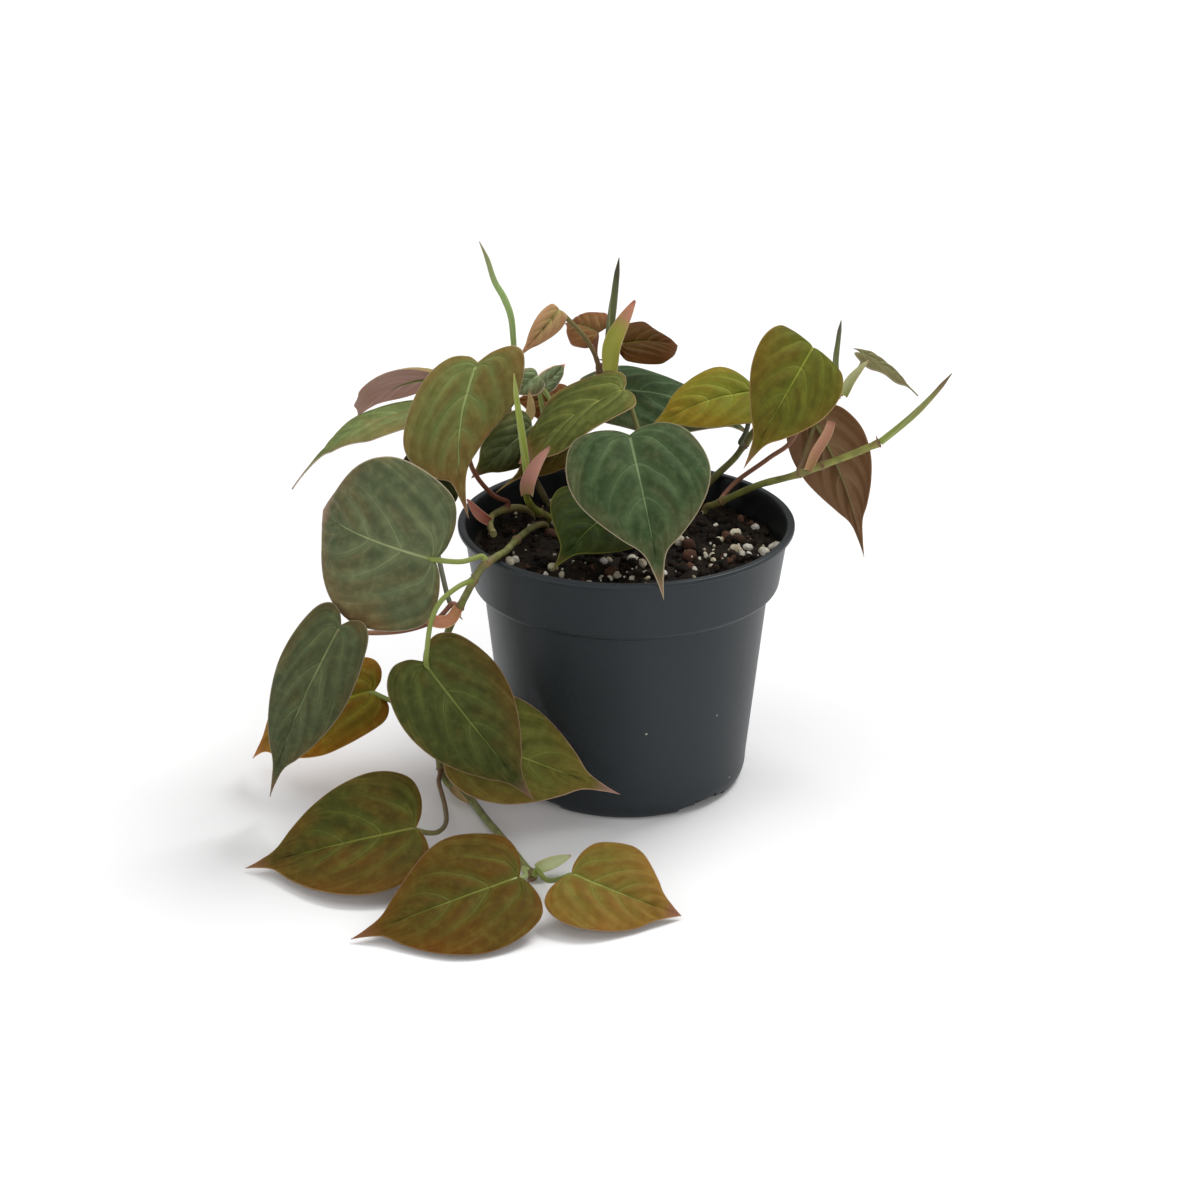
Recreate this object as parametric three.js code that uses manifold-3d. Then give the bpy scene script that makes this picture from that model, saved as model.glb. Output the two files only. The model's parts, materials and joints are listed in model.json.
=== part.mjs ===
// Velvet-leaf philodendron: vines with heart leaves, rooted in a round nursery pot.
// Millimetres, +Z up. The origin is on the pot's axis, at the level the pot stands on.
// The front is towards -Y. Every stem, leaf, sheath and rolled leaf is a solid of its own.

import * as THREE from "three";
import { mergeVertices } from "three/addons/utils/BufferGeometryUtils.js";
import Module from "manifold-3d";

const wasm = await Module();
wasm.setup();

// Driving dimensions

const GAP = 0.3; // clearance between two pieces that touch

const POT = {
  height: 88,
  wall: 1,
  lipRadius: 54,
  lipInnerRadius: 51.6,
  lipDepth: 1.6,
  bandTopRadius: 52.1,
  bandFootRadius: 49.4,
  bandFootHeight: 68.4,
  bandChamfer: 1.2, // below the band's foot, where it turns in to the body
  bodyTopRadius: 46,
  bodyTopHeight: 66.6,
  bodyFootRadius: 39.8,
  bodyFootHeight: 9,
  cornerRadius: 39.5, // the rounded corner between body and foot, at half its height
  cornerHeight: 4.4,
  heelRadius: 38.6, // just above the foot ring
  heelHeight: 1.6,
  ringRadius: 36.9,
  ringInnerRadius: 34.4,
  floorRadius: 33.4,
  floorUnderside: 1.5,
  innerCornerRadius: 37.2,
  innerCornerHeight: 4.2,
  sides: 40,
};

const DRAIN = {
  count: 4,
  firstAngle: -48.5, // degrees from +X, seen from above
  archWidth: 20,
  archDepth: 12,
  archHeight: 2.2,
  archRadius: 40.8, // the middle of the cut, which stops short of the floor of the pot
  slotWidth: 9,
  slotDepth: 5,
  slotTop: 4.9,
  slotRadius: 36.5,
  below: 1, // how far the cuts reach below what they open
};

const SOIL = {
  surface: 78,
  relief: 0.7, // height of the lumps on the surface
  wallClearance: 0.5, // the faceted wall lies inside the circle through its corners
  rings: 5,
  sides: 24,
};

const VINE = { radius: 1.15, sides: 8, step: 5, rootDepth: 9, holeClearance: 0.6 };
const STALK = { radius: 0.8, clear: 1.2, sides: 6, step: 6 }; // clear: its first, square stretch
const ROLL = { sides: 6, steps: 10 };
const SHEATH = { sides: 6, steps: 8, edgeDepth: 0.35, swellDepth: 0.35, tip: 0.12 };
const NEAREST_STEPS = 400; // places tried on a vine to find where a stalk starts

const BLADE = {
  thickness: 0.7,
  steps: 12, // along each margin, from the notch behind the stalk to the tip
  across: 2, // from the midrib to the margin
  firstVein: 0.35, // share of the margin whose veins all start at the stalk
};

// Vines, as points along their middle. The first point of each is on the soil.

const VINES = {
  trailing_vine: [
    [-26, 17, 79],
    [-30, 9, 82],
    [-35, -7, 84],
    [-38, -24, 87],
    [-40.5, -36.5, 90.3],
    [-45, -41.5, 88.5],
    [-49.5, -41, 80],
    [-51.5, -38, 75],
    [-55, -36, 67],
    [-58, -33, 57],
    [-60.5, -28, 38],
    [-61, -21, 17],
    [-59, -16.5, 3.5],
    [-55, -21, 2],
    [-50, -28, 2],
    [-45.4, -40, 2],
    [-40.2, -52, 2],
    [-36, -62, 2],
    [-32.4, -71, 2],
    [-29, -80, 2],
  ],
  left_side_shoot: [
    [-31, 27, 79],
    [-34, 26, 82],
    [-39, 24, 82.5],
    [-43.5, 18, 82.5],
    [-44, 8, 83],
    [-42.5, -2, 84],
  ],
  front_shoot: [
    [-25, 23.5, 79],
    [-28, 18, 83.5],
    [-30.5, 10, 89],
    [-32, 3, 95.5],
    [-31.5, 0, 102],
  ],
  back_vine: [
    [-17, 41, 79],
    [-20, 40.5, 97],
    [-22, 40.5, 109],
    [-18, 41, 117],
    [-12, 42, 120],
    [-7.2, 43.3, 123.5],
    [-6, 44, 128],
  ],
  left_back_vine: [
    [-26, 37, 79],
    [-33, 37, 94],
    [-38, 36, 108],
    [-38, 30, 120],
    [-36.4, 26, 128],
    [-36, 25.5, 132],
  ],
  centre_vine: [
    [6, 16, 79],
    [6, 14, 87],
    [7, 13, 96],
    [6, 15, 104],
  ],
  right_vine: [
    [26.5, 32.5, 79],
    [29.5, 30.8, 81.4],
    [34.5, 28.2, 84.9],
    [39.6, 26, 88.3],
    [44.7, 24.3, 91.2],
    [55.1, 22.6, 94.8],
    [64, 22, 98.5],
    [73, 21.3, 102.4],
    [82, 20, 107],
  ],
  right_back_vine: [
    [22, 38, 79],
    [29, 39.5, 87],
    [36, 40, 94],
    [39.5, 39, 99.5],
    [45, 38, 107],
    [57, 36, 112.5],
    [65, 35, 115.5],
    [70, 34, 119.5],
  ],
};

// Leaves. `base` is where the stalk meets the blade and `tip` is the end of the drip tip.
// `facing` is where the upper side looks, and `width` is measured flat. `bow` arches the
// midrib towards the upper side and `sway` bends it to the leaf's left. `fold` turns the
// left and the right half up, in degrees. `lobe`, `belly` and `drip` are shares of the length:
// how far the lobes reach back, where the blade is widest and how long the drip tip is.
// `blunt` fills the blade out towards its tip, up to 1 for an oval leaf.
// `shear` slides the left half towards the tip and the right half back by such a share.
// `from` names the vine and the place on it where the stalk starts, and `via` its way.

const LEAVES = {
  leaf_front_centre: {
    base: [1, -22, 124],
    tip: [11, -56, 84],
    facing: [0, -1, 0.75],
    shear: -0.03,
    width: 44,
    bow: 5,
    drip: 0.24,
    belly: 0.34,
    lobe: 0.08,
    from: ["centre_vine", [6, 14, 90]],
    via: [[4, 6, 100], [1, -10, 117]],
  },
  leaf_upper_left: {
    base: [-47.4, 3, 138.8],
    tip: [-50, -8, 91.6],
    facing: [-0.45, -1, 0.2],
    width: 36.5,
    bow: 4,
    sway: 3,
    fold: [15, -58],
    lobe: 0.1,
    drip: 0.26,
    belly: 0.38,
    shear: 0.22,
    from: ["left_side_shoot", [-39, 24, 82]],
    via: [[-44, 19, 90], [-50, 11, 103], [-51, 9, 120], [-48, 6, 134]],
  },
  leaf_left_round: {
    base: [-60.3, -40, 91],
    tip: [-95.5, -14, 97],
    facing: [-0.3, -1, 0.3],
    shear: 0.03,
    blunt: 0.3,
    width: 54,
    bow: 10,
    lobe: 0.08,
    drip: 0.08,
    belly: 0.36,
    from: ["trailing_vine", [-44, -40, 91]],
    via: [[-50, -43, 91.5], [-55, -43, 91.5]],
  },
  leaf_low_left: {
    base: [-89, -46, 70],
    tip: [-114, -36, 7],
    facing: [-0.35, -1, 0.3],
    width: 26,
    bow: 6,
    lobe: 0.08,
    drip: 0.2,
    belly: 0.34,
    from: ["trailing_vine", [-52, -38, 74]],
    via: [[-60, -35, 68.2], [-70, -38, 66], [-82, -44, 68]],
  },
  leaf_low_left_back: {
    base: [-83, -9, 31.6],
    tip: [-123, -4, 5],
    facing: [-0.2, -0.7, 0.7],
    shear: -0.03,
    width: 31,
    bow: 9,
    drip: 0.14,
    lobe: 0.08,
    belly: 0.38,
    from: ["trailing_vine", [-61, -24, 25]],
    via: [[-66, -18, 26], [-74, -13, 29]],
  },
  leaf_front_left: {
    base: [-62, -51, 60],
    tip: [-29, -58, 17],
    facing: [0.1, -1, 0.5],
    width: 35,
    bow: 5,
    lobe: 0.1,
    drip: 0.16,
    sway: 0.5,
    belly: 0.3,
    from: ["trailing_vine", [-47.5, -41.5, 85]],
    via: [[-52, -48, 85], [-57, -52, 82], [-60, -54, 76], [-61.5, -55, 66]],
  },
  leaf_beside_pot: {
    base: [-51, -41, 31],
    tip: [-2, -46, 13],
    facing: [0, -0.8, 0.6],
    width: 35,
    bow: 1,
    drip: 0.2,
    from: ["trailing_vine", [-61, -25, 28]],
    via: [[-61, -31, 29], [-57, -39, 30]],
  },
  leaf_floor_left: {
    base: [-66, -73, 15],
    tip: [-118, -73, 1.2],
    facing: [0, -0.47, 0.88],
    shear: -0.03,
    width: 45,
    bow: 3,
    drip: 0.16,
    lobe: 0.07,
    fold: [10, 10],
    belly: 0.3,
    droop: 1,
    sway: -1.5,
    from: ["trailing_vine", [-60.2, -18.5, 8]],
    via: [[-60.5, -25, 6.5], [-58, -38, 5], [-57, -52, 6], [-59, -65, 9.5], [-63, -71.5, 13]],
  },
  leaf_floor_centre: {
    base: [-33.4, -100, 12.5],
    tip: [-82, -117, 1.2],
    facing: [0, -0.47, 0.88],
    shear: -0.05,
    width: 43,
    bow: 3,
    drip: 0.16,
    lobe: 0.07,
    fold: [2, 5],
    belly: 0.34,
    droop: 1,
    sway: -1.5,
    from: ["trailing_vine", [-30.4, -77, 2]],
    via: [[-31, -87, 6]],
  },
  leaf_floor_right: {
    base: [-16.3, -98, 12.6],
    tip: [16, -103, 1.2],
    facing: [0, -0.47, 0.88],
    shear: -0.07,
    blunt: 0.45,
    width: 35,
    bow: 2,
    drip: 0.18,
    lobe: 0.07,
    fold: [6, 2],
    belly: 0.34,
    droop: 1,
    sway: 1.5,
    from: ["trailing_vine", [-29, -80, 2]],
    via: [[-24, -88, 5]],
  },
  leaf_centre_folded: {
    base: [-1.5, 21, 124.5],
    tip: [-34.7, 18.0, 100.5],
    facing: [0, -0.2, 1],
    blunt: 0.5,
    width: 34,
    bow: 3,
    fold: [4, 11],
    drip: 0.08,
    belly: 0.5,
    from: ["centre_vine", [6, 15, 102]],
    via: [[4, 19, 111], [0.5, 22, 121.8]],
  },
  leaf_centre_dark: {
    base: [-31, 30.6, 108.9],
    tip: [-50.6, 23.5, 93.4],
    facing: [-0.3, -1, 0],
    fold: [4, -22],
    blunt: 0.5,
    belly: 0.42,
    width: 18,
    bow: 2,
    from: ["left_back_vine", [-33.5, 37, 95]],
    via: [[-29, 35.8, 97], [-27.5, 31.5, 104]],
  },
  leaf_centre_brown: {
    base: [-17.6, 30, 102.3],
    tip: [-42.1, 14, 92],
    facing: [0.2, -0.75, 1],
    width: 12.5,
    bow: 3,
    drip: 0.25,
    from: ["back_vine", [-18.5, 40.8, 90]],
    via: [[-15.5, 38, 93.5], [-15, 33, 99.5]],
  },
  leaf_back_brown: {
    base: [-17.8, 56.0, 106.3],
    tip: [-40.2, 56.0, 108.4],
    facing: [0, -0.5, 1],
    width: 20,
    bow: 2,
    from: ["back_vine", [-20, 40.5, 97]],
    via: [[-15.5, 46, 101], [-14.5, 53, 103.5]],
  },
  leaf_back_grey: {
    base: [-29.2, 46, 121],
    tip: [-37.6, 46, 113.3],
    facing: [-0.3, -1, 0.4],
    width: 10,
    bow: 1.5,
    from: ["back_vine", [-20.8, 40.5, 102]],
    via: [[-26.5, 43, 106.5], [-28, 45, 113]],
  },
  leaf_far_left_pink: {
    base: [-58, 36, 123.4],
    tip: [-88, 36, 110.5],
    facing: [0, 0.6, 0.8],
    blunt: 0.5,
    shear: -0.25,
    width: 26,
    bow: 5,
    drip: 0.1,
    belly: 0.6,
    from: ["left_back_vine", [-38, 36, 108]],
    via: [[-46, 38, 117], [-53, 38, 122]],
  },
  leaf_far_left_long: {
    base: [-62, 19, 118.5],
    tip: [-108, 12, 94],
    facing: [-0.15, 0.05, 1],
    width: 31,
    bow: 7,
    drip: 0.26,
    belly: 0.5,
    from: ["left_back_vine", [-36, 36.5, 101]],
    via: [[-43, 31, 107], [-54, 23, 114]],
  },
  leaf_left_back_dark: {
    base: [-63, 3, 91.5],
    tip: [-70, 16, 111],
    facing: [0, -1, 0.6],
    width: 22,
    bow: 3,
    from: ["trailing_vine", [-53, -37, 72]],
    via: [[-56, -30, 74], [-60, -12, 82]],
  },
  leaf_back_centre: {
    base: [-6, 50, 114.8],
    tip: [46, 62, 91.8],
    facing: [0, -0.25, 1],
    width: 31,
    bow: 6,
    drip: 0.2,
    lobe: 0.13,
    fold: [-20, 4],
    from: ["back_vine", [-9, 43, 122]],
    via: [[-8, 48, 118.6]],
  },
  leaf_back_small: {
    base: [-27.8, 50, 115.9],
    tip: [-20, 56, 122],
    facing: [0.3, -1, 0.5],
    blunt: 0.9,
    width: 7.2,
    bow: 2,
    lobe: 0.03,
    from: ["back_vine", [-22, 40.5, 106]],
    via: [[-24, 43, 112]],
  },
  leaf_right_gold: {
    base: [41, 34, 119.3],
    tip: [6.6, 20, 110.8],
    facing: [0, -0.45, 0.9],
    blunt: 0.4,
    width: 28,
    bow: 4,
    from: ["right_back_vine", [39.5, 39, 99.5]],
    via: [[40, 36, 106], [41, 35, 115]],
  },
  leaf_right_heart: {
    base: [59.2, 14, 141.4],
    tip: [37, -4, 107],
    facing: [0, -1, 0.5],
    shear: -0.04,
    width: 31,
    bow: 4,
    lobe: 0.02,
    fold: [4, -8],
    from: ["right_vine", [33, 32.3, 84]],
    via: [[37.5, 34, 89], [47, 30, 98], [55, 24, 108], [59, 17, 130]],
  },
  leaf_right_hanging: {
    base: [62.5, 36.5, 108.4],
    tip: [79, 24, 65.2],
    facing: [0.15, 1, 0.1],
    width: 26,
    bow: 3,
    drip: 0.22,
    sway: 1.5,
    from: ["right_vine", [57, 22.6, 95.5]],
    via: [[58, 28, 97.5], [61, 36, 103.5]],
  },
  leaf_far_right_small: {
    base: [78.3, 33, 132.3],
    tip: [95.6, 34, 118.2],
    facing: [0.2, -0.15, 1],
    width: 10,
    bow: 1,
    lobe: 0.2,
    from: ["right_back_vine", [66.5, 34.7, 116.5]],
    via: [[71.5, 37, 119.5], [76, 35, 127]],
  },
  leaf_top_right: {
    base: [-1.4, 49, 131],
    tip: [17.5, 62, 126.3],
    facing: [0.2, -0.5, 0.85],
    belly: 0.5,
    drip: 0.05,
    blunt: 0.4,
    width: 18,
    bow: 2,
    from: ["back_vine", [-6, 44, 127]],
    via: [[-4, 47.5, 130]],
  },
  leaf_top_left: {
    base: [-9.4, 48, 135.5],
    tip: [-20, 60, 134.5],
    facing: [-0.2, -0.6, 0.8],
    blunt: 0.3,
    width: 16,
    bow: 2,
    from: ["back_vine", [-7, 43.5, 125]],
    via: [[-10, 46, 129]],
  },
  leaf_top_small: {
    base: [-21.6, 32, 148],
    tip: [-34.5, 27, 134],
    facing: [0, -1, 0.4],
    lobe: 0.03,
    blunt: 0.3,
    width: 8.5,
    bow: 1,
    from: ["back_vine", [-8, 43, 123.5]],
    via: [[-9.5, 40, 129], [-13.5, 36, 138]],
  },
  leaf_in_pot: {
    base: [-3, -8, 95.5],
    tip: [-23, -43, 88.5],
    facing: [0.1, -0.5, 1],
    width: 36,
    bow: 3,
    from: ["centre_vine", [6, 14.5, 85]],
    via: [[4, 8, 88], [0, -2, 93.5]],
  },
};

// Young leaves, still rolled up: thickness at the foot, in the middle and at the tip.

const ROLLED_LEAVES = {
  rolled_leaf_upper_left: {
    path: [
      [-36, 25.4, 132.5],
      [-36.3, 24.8, 141],
      [-37, 24.5, 148.5],
      [-39.2, 24.5, 154.8],
      [-42, 24.5, 160.2],
      [-44.2, 24.5, 167.5],
      [-46.6, 24.5, 173.2],
    ],
    radii: [0.9, 1.25, 0.25],
  },
  rolled_leaf_top: {
    path: [[-5.9, 44.1, 128.5], [-4.9, 45, 140], [-3.4, 45, 152], [-2.2, 45, 161.8]],
    radii: [1.6, 1.5, 0.25],
  },
  rolled_leaf_front: {
    path: [[-31.5, -0.2, 102.5], [-33, -7, 120], [-34.3, -11, 133], [-35, -13, 142]],
    radii: [1.35, 1.3, 0.25],
  },
  rolled_leaf_vine_end: {
    path: [
      [82.4, 19.9, 107.4],
      [88, 20, 112.2],
      [93.6, 20.2, 117.4],
      [99.6, 20.6, 124],
      [104.7, 21, 130.4],
    ],
    radii: [1.2, 1.2, 0.25],
  },
  rolled_leaf_right: {
    path: [[69.3, 34, 121.1], [68.2, 33, 130], [68.7, 32, 138], [69.4, 31, 145]],
    radii: [1, 1.1, 0.25],
  },
};

// Sheaths: the pointed bracts that wrapped each young leaf. `width` is across the broad side.
// `blunt` leaves the end broad, up to 1 where it looks cut off.

const SHEATHS = {
  sheath_left_pink: {
    path: [[-44.2, 6, 85.2], [-47.6, 3.4, 89], [-51, 2, 94.5]],
    facing: [0, -1, 0.4],
    width: 3.4,
  },
  sheath_trailing_orange: {
    path: [[-52.4, -40.5, 74.8], [-55, -43, 71.8], [-59, -43, 71.4], [-63, -41.5, 73], [-66, -39.5, 76]],
    facing: [0, -1, 0.2],
    width: 4,
  },
  sheath_front_pink: {
    path: [[-31.6, -0.2, 97], [-31.2, -3.4, 103], [-28.5, -5, 109.4], [-24.2, -5, 115]],
    facing: [0, -1, 0.2],
    width: 4.8,
  },
  sheath_top: {
    path: [[-5.1, 40.3, 124.5], [-4.6, 41.2, 133], [-1.6, 42, 140], [3, 42.5, 148.2]],
    facing: [0, -1, 0],
    width: 6,
  },
  sheath_right_pink: {
    path: [[59.2, 20, 97.5], [61.6, 20, 103.8], [65, 19.5, 110.2], [66.4, 19.5, 114.6]],
    facing: [0, -1, 0.2],
    blunt: 1,
    width: 3.4,
  },
  sheath_far_right: {
    path: [[71, 31.8, 119.3], [72.6, 28.5, 125.4], [75.4, 26, 130.3], [78.2, 25, 133.6]],
    facing: [0, -1, 0.2],
    width: 3.4,
  },
  sheath_floor_right: {
    path: [[-27.6, -78.4, 3.2], [-22.6, -76, 4.4], [-17.3, -74, 6.2]],
    facing: [0, -0.4, 1],
    width: 5,
  },
  sheath_floor_left: {
    path: [[-56.8, -22.6, 3.4], [-54, -28, 3.2], [-50.6, -33.8, 3.4]],
    facing: [0, -0.4, 1],
    width: 2.6,
  },
  sheath_back_left: {
    path: [[-35.6, 37.8, 105.6], [-31.5, 38, 110.5], [-31, 36.5, 115], [-31.5, 35, 119.5]],
    facing: [0, -1, 0.2],
    width: 3.4,
  },
};

// Colours and finishes

const FINISH = {
  pot: { color: 0x30363b, roughness: 0.5, metalness: 0 },
  soil: { color: 0x2a1f17, roughness: 1, metalness: 0 },
  vine: { color: 0x6f8038, roughness: 0.55, metalness: 0 },
  rolled: { color: 0x8fa35c, roughness: 0.6, metalness: 0 },
  sheath: { color: 0xd49a86, roughness: 0.6, metalness: 0 },
  leaf: { color: 0x5b6638, roughness: 0.8, metalness: 0 },
};

// Small helpers

const vec = (point) => new THREE.Vector3(...point);

const pathThrough = (points) =>
  new THREE.CatmullRomCurve3(points, false, "catmullrom", 0.5);

const finish = (kind) => new THREE.MeshStandardMaterial(FINISH[kind]);

function node(name, geometry, kind) {
  const mesh = new THREE.Mesh(geometry, finish(kind));
  mesh.name = name;
  return mesh;
}

// Booleans on closed meshes

function asSolid(geometry) {
  const bare = geometry.clone();
  bare.deleteAttribute("normal");
  bare.deleteAttribute("uv");
  const merged = mergeVertices(bare, 1e-4);
  return new wasm.Manifold(
    new wasm.Mesh({
      numProp: 3,
      vertProperties: new Float32Array(merged.attributes.position.array),
      triVerts: new Uint32Array(merged.index.array),
    }),
  );
}

function asGeometry(solid) {
  const mesh = solid.getMesh();
  const geometry = new THREE.BufferGeometry();
  geometry.setAttribute("position", new THREE.BufferAttribute(mesh.vertProperties, 3));
  geometry.setIndex(new THREE.BufferAttribute(mesh.triVerts, 1));
  geometry.computeVertexNormals();
  return geometry;
}

// A closed geometry from points and triangles, turned so that its faces look outwards.
function closedGeometry(points, triangles) {
  let volume = 0;
  for (const [a, b, c] of triangles) {
    volume += points[a].dot(points[b].clone().cross(points[c]));
  }
  const outward = volume > 0 ? triangles : triangles.map(([a, b, c]) => [a, c, b]);
  const geometry = new THREE.BufferGeometry().setFromPoints(points);
  geometry.setIndex(outward.flat());
  geometry.computeVertexNormals();
  return geometry;
}

// A round tube along a path, with flat ends.
function tube(path, radius, sides, steps) {
  const section = new THREE.Shape().absarc(0, 0, radius, 0, 2 * Math.PI);
  return new THREE.ExtrudeGeometry(section, {
    curveSegments: sides / 2,
    steps,
    extrudePath: path,
    bevelEnabled: false,
  });
}

// A closed skin over a row of rings that all have the same number of points.
function loft(rings) {
  const sides = rings[0].length;
  const points = rings.flat();
  const triangles = [];
  for (let i = 0; i + 1 < rings.length; i += 1) {
    for (let k = 0; k < sides; k += 1) {
      const next = (k + 1) % sides;
      const a = i * sides + k;
      const b = i * sides + next;
      triangles.push([a, b, b + sides], [a, b + sides, a + sides]);
    }
  }
  const lastRing = (rings.length - 1) * sides;
  for (let k = 1; k + 1 < sides; k += 1) {
    triangles.push([0, k + 1, k], [lastRing, lastRing + k, lastRing + k + 1]);
  }
  return closedGeometry(points, triangles);
}

// Nursery pot: tapered body, wide rim band with a flat lip, four feet and four drain slots

function potProfile() {
  const p = POT;
  return [
    [0, p.floorUnderside],
    [p.floorRadius, p.floorUnderside],
    [p.ringInnerRadius, 0],
    [p.ringRadius, 0],
    [p.heelRadius, p.heelHeight],
    [p.cornerRadius, p.cornerHeight],
    [p.bodyFootRadius, p.bodyFootHeight],
    [p.bodyTopRadius, p.bodyTopHeight],
    [p.bandFootRadius - p.bandChamfer, p.bandFootHeight - p.bandChamfer],
    [p.bandFootRadius, p.bandFootHeight],
    [p.bandTopRadius, p.height - p.lipDepth],
    [p.lipRadius, p.height - p.lipDepth],
    [p.lipRadius, p.height],
    [p.lipInnerRadius, p.height],
    [p.bandTopRadius - p.wall, p.height - p.lipDepth],
    [p.bandFootRadius - p.wall, p.bandFootHeight + p.wall],
    [p.bodyTopRadius - p.wall, p.bodyTopHeight + p.wall],
    [p.bodyFootRadius - p.wall, p.bodyFootHeight],
    [p.innerCornerRadius, p.innerCornerHeight],
    [p.ringInnerRadius, p.floorUnderside + p.wall],
    [0, p.floorUnderside + p.wall],
  ];
}

// A box that lies across a radius of the pot: width is along its wall, depth along the radius.
function radialBox(width, depth, bottom, top, radius, angle) {
  const box = new THREE.BoxGeometry(depth, width, top - bottom);
  box.translate(radius, 0, (top + bottom) / 2);
  box.rotateZ(THREE.MathUtils.degToRad(angle));
  return asSolid(box);
}

function potGeometry() {
  const { archWidth, archDepth, archHeight, archRadius, below } = DRAIN;
  const { slotWidth, slotDepth, slotTop, slotRadius } = DRAIN;
  const profile = potProfile().map(([r, z]) => new THREE.Vector2(r, z));
  const turned = new THREE.LatheGeometry(profile, POT.sides);
  turned.rotateX(Math.PI / 2);
  let pot = asSolid(turned);
  for (let i = 0; i < DRAIN.count; i += 1) {
    const angle = DRAIN.firstAngle + (i * 360) / DRAIN.count;
    const arch = radialBox(archWidth, archDepth, -below, archHeight, archRadius, angle);
    const slot = radialBox(slotWidth, slotDepth, archHeight - below, slotTop, slotRadius, angle);
    pot = pot.subtract(arch).subtract(slot);
  }
  return asGeometry(pot);
}

// Potting mix: fills the pot, with a lumpy surface and a hole round each rooted vine

function soilHeight(x, y) {
  const lumps = Math.sin(0.31 * x + 1) * Math.cos(0.27 * y) + Math.sin(0.13 * x - 0.21 * y);
  return SOIL.surface + (SOIL.relief * lumps) / 2;
}

// A ring of the mix at one height, or along the lumpy surface where no height is given.
function soilRing(radius, height) {
  const ring = [];
  for (let k = 0; k < SOIL.sides; k += 1) {
    const angle = (2 * Math.PI * k) / SOIL.sides;
    const x = radius * Math.cos(angle);
    const y = radius * Math.sin(angle);
    ring.push(new THREE.Vector3(x, y, height ?? soilHeight(x, y)));
  }
  return ring;
}

function soilGeometry() {
  const p = POT;
  const clear = p.wall + SOIL.wallClearance;
  const climb = (SOIL.surface - p.bandFootHeight) / (p.height - p.lipDepth - p.bandFootHeight);
  const surfaceRadius = THREE.MathUtils.lerp(p.bandFootRadius, p.bandTopRadius, climb) - clear;
  const rings = [
    soilRing(p.floorRadius, p.floorUnderside + p.wall + GAP),
    soilRing(p.bodyFootRadius - clear, p.bodyFootHeight),
    soilRing(p.bodyTopRadius - clear, p.bodyTopHeight + p.wall),
    soilRing(p.bandFootRadius - clear, p.bandFootHeight + 2 * p.wall),
    soilRing(surfaceRadius),
  ];
  for (let k = 1; k < SOIL.rings; k += 1) {
    rings.push(soilRing(surfaceRadius * (1 - k / SOIL.rings)));
  }
  let soil = asSolid(loft(rings));
  for (const points of Object.values(VINES)) {
    soil = soil.subtract(asSolid(rootHole(points)));
  }
  return asGeometry(soil);
}

// Vines

function rootedPoints(points) {
  const root = vec(points[0]);
  root.z -= VINE.rootDepth;
  return [root, ...points.map(vec)];
}

function rootHole(points) {
  const [root, surface, above] = rootedPoints(points);
  root.z -= GAP;
  const path = pathThrough([root, surface, above]);
  return tube(path, VINE.radius + VINE.holeClearance, VINE.sides, VINE.sides);
}

const vinePaths = Object.fromEntries(
  Object.entries(VINES).map(([name, points]) => [name, pathThrough(rootedPoints(points))]),
);

function vineGeometry(path) {
  const steps = Math.max(VINE.sides, Math.round(path.getLength() / VINE.step));
  return tube(path, VINE.radius, VINE.sides, steps);
}

// Leaves

// One side's margin of a flat leaf, from the notch behind the stalk to the tip.
// x is the share of half the width, y the share of the length.
function marginCurve({ lobe = 0.07, belly = 0.26, drip = 0.2, blunt = 0 }) {
  const body = 1 - drip;
  const widest = belly * body;
  const below = (share) => widest + share * (body - widest);
  const points = [
    [0, -0.3 * lobe],
    [0.2, -0.85 * lobe],
    [0.5, -lobe],
    [0.78, -0.35 * lobe],
    [0.95, 0.4 * widest],
    [1, widest],
    [0.91 + 0.03 * blunt, below(0.27)],
    [0.7 + 0.12 * blunt, below(0.53)],
    [0.42 + 0.26 * blunt, below(0.77)],
    [0.17 + 0.3 * blunt, below(0.95)],
    [0.06 + 0.16 * blunt, body + 0.45 * drip],
    [0, 1],
  ];
  return new THREE.SplineCurve(points.map(([x, y]) => new THREE.Vector2(x, y)));
}

// The midrib at a share of its length, with the directions along, across and up.
function midribFrame(leaf, share) {
  const { bow = 2, sway = 0 } = leaf;
  const base = vec(leaf.base);
  const chord = vec(leaf.tip).sub(base);
  const up = vec(leaf.facing).projectOnPlane(chord.clone().normalize()).normalize();
  const left = chord.clone().cross(up).normalize();
  const arch = share > 0 ? 4 * share * (1 - share) : 4 * share;
  const archSlope = share > 0 ? 4 - 8 * share : 4;
  const bend = up.clone().multiplyScalar(bow).addScaledVector(left, sway);
  const point = base.addScaledVector(chord, share).addScaledVector(bend, arch);
  const along = chord.addScaledVector(bend, archSlope).normalize();
  const normal = up.projectOnPlane(along).normalize();
  const across = along.clone().cross(normal);
  return { point, across, normal };
}

// A point of the blade: side is 1 on the leaf's left and -1 on its right.
function bladePoint(leaf, margin, side, t, v) {
  const { fold = [4, 4], shear = 0, droop = 1.6, puff = 0.8 } = leaf;
  const edge = margin.getPoint(t);
  const vein = Math.max(0, (t - BLADE.firstVein) / (1 - BLADE.firstVein));
  const share = vein + (edge.y - vein) * v + shear * side * edge.x * v;
  const { point, across, normal } = midribFrame(leaf, share);
  const outward = (edge.x * v * leaf.width) / 2;
  const tilt = THREE.MathUtils.degToRad(side > 0 ? fold[0] : fold[1]);
  const height = edge.x * (puff * Math.sin(Math.PI * v) - droop * v * v);
  return point
    .addScaledVector(across, side * outward * Math.cos(tilt))
    .addScaledVector(normal, outward * Math.sin(tilt) + height);
}

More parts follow.
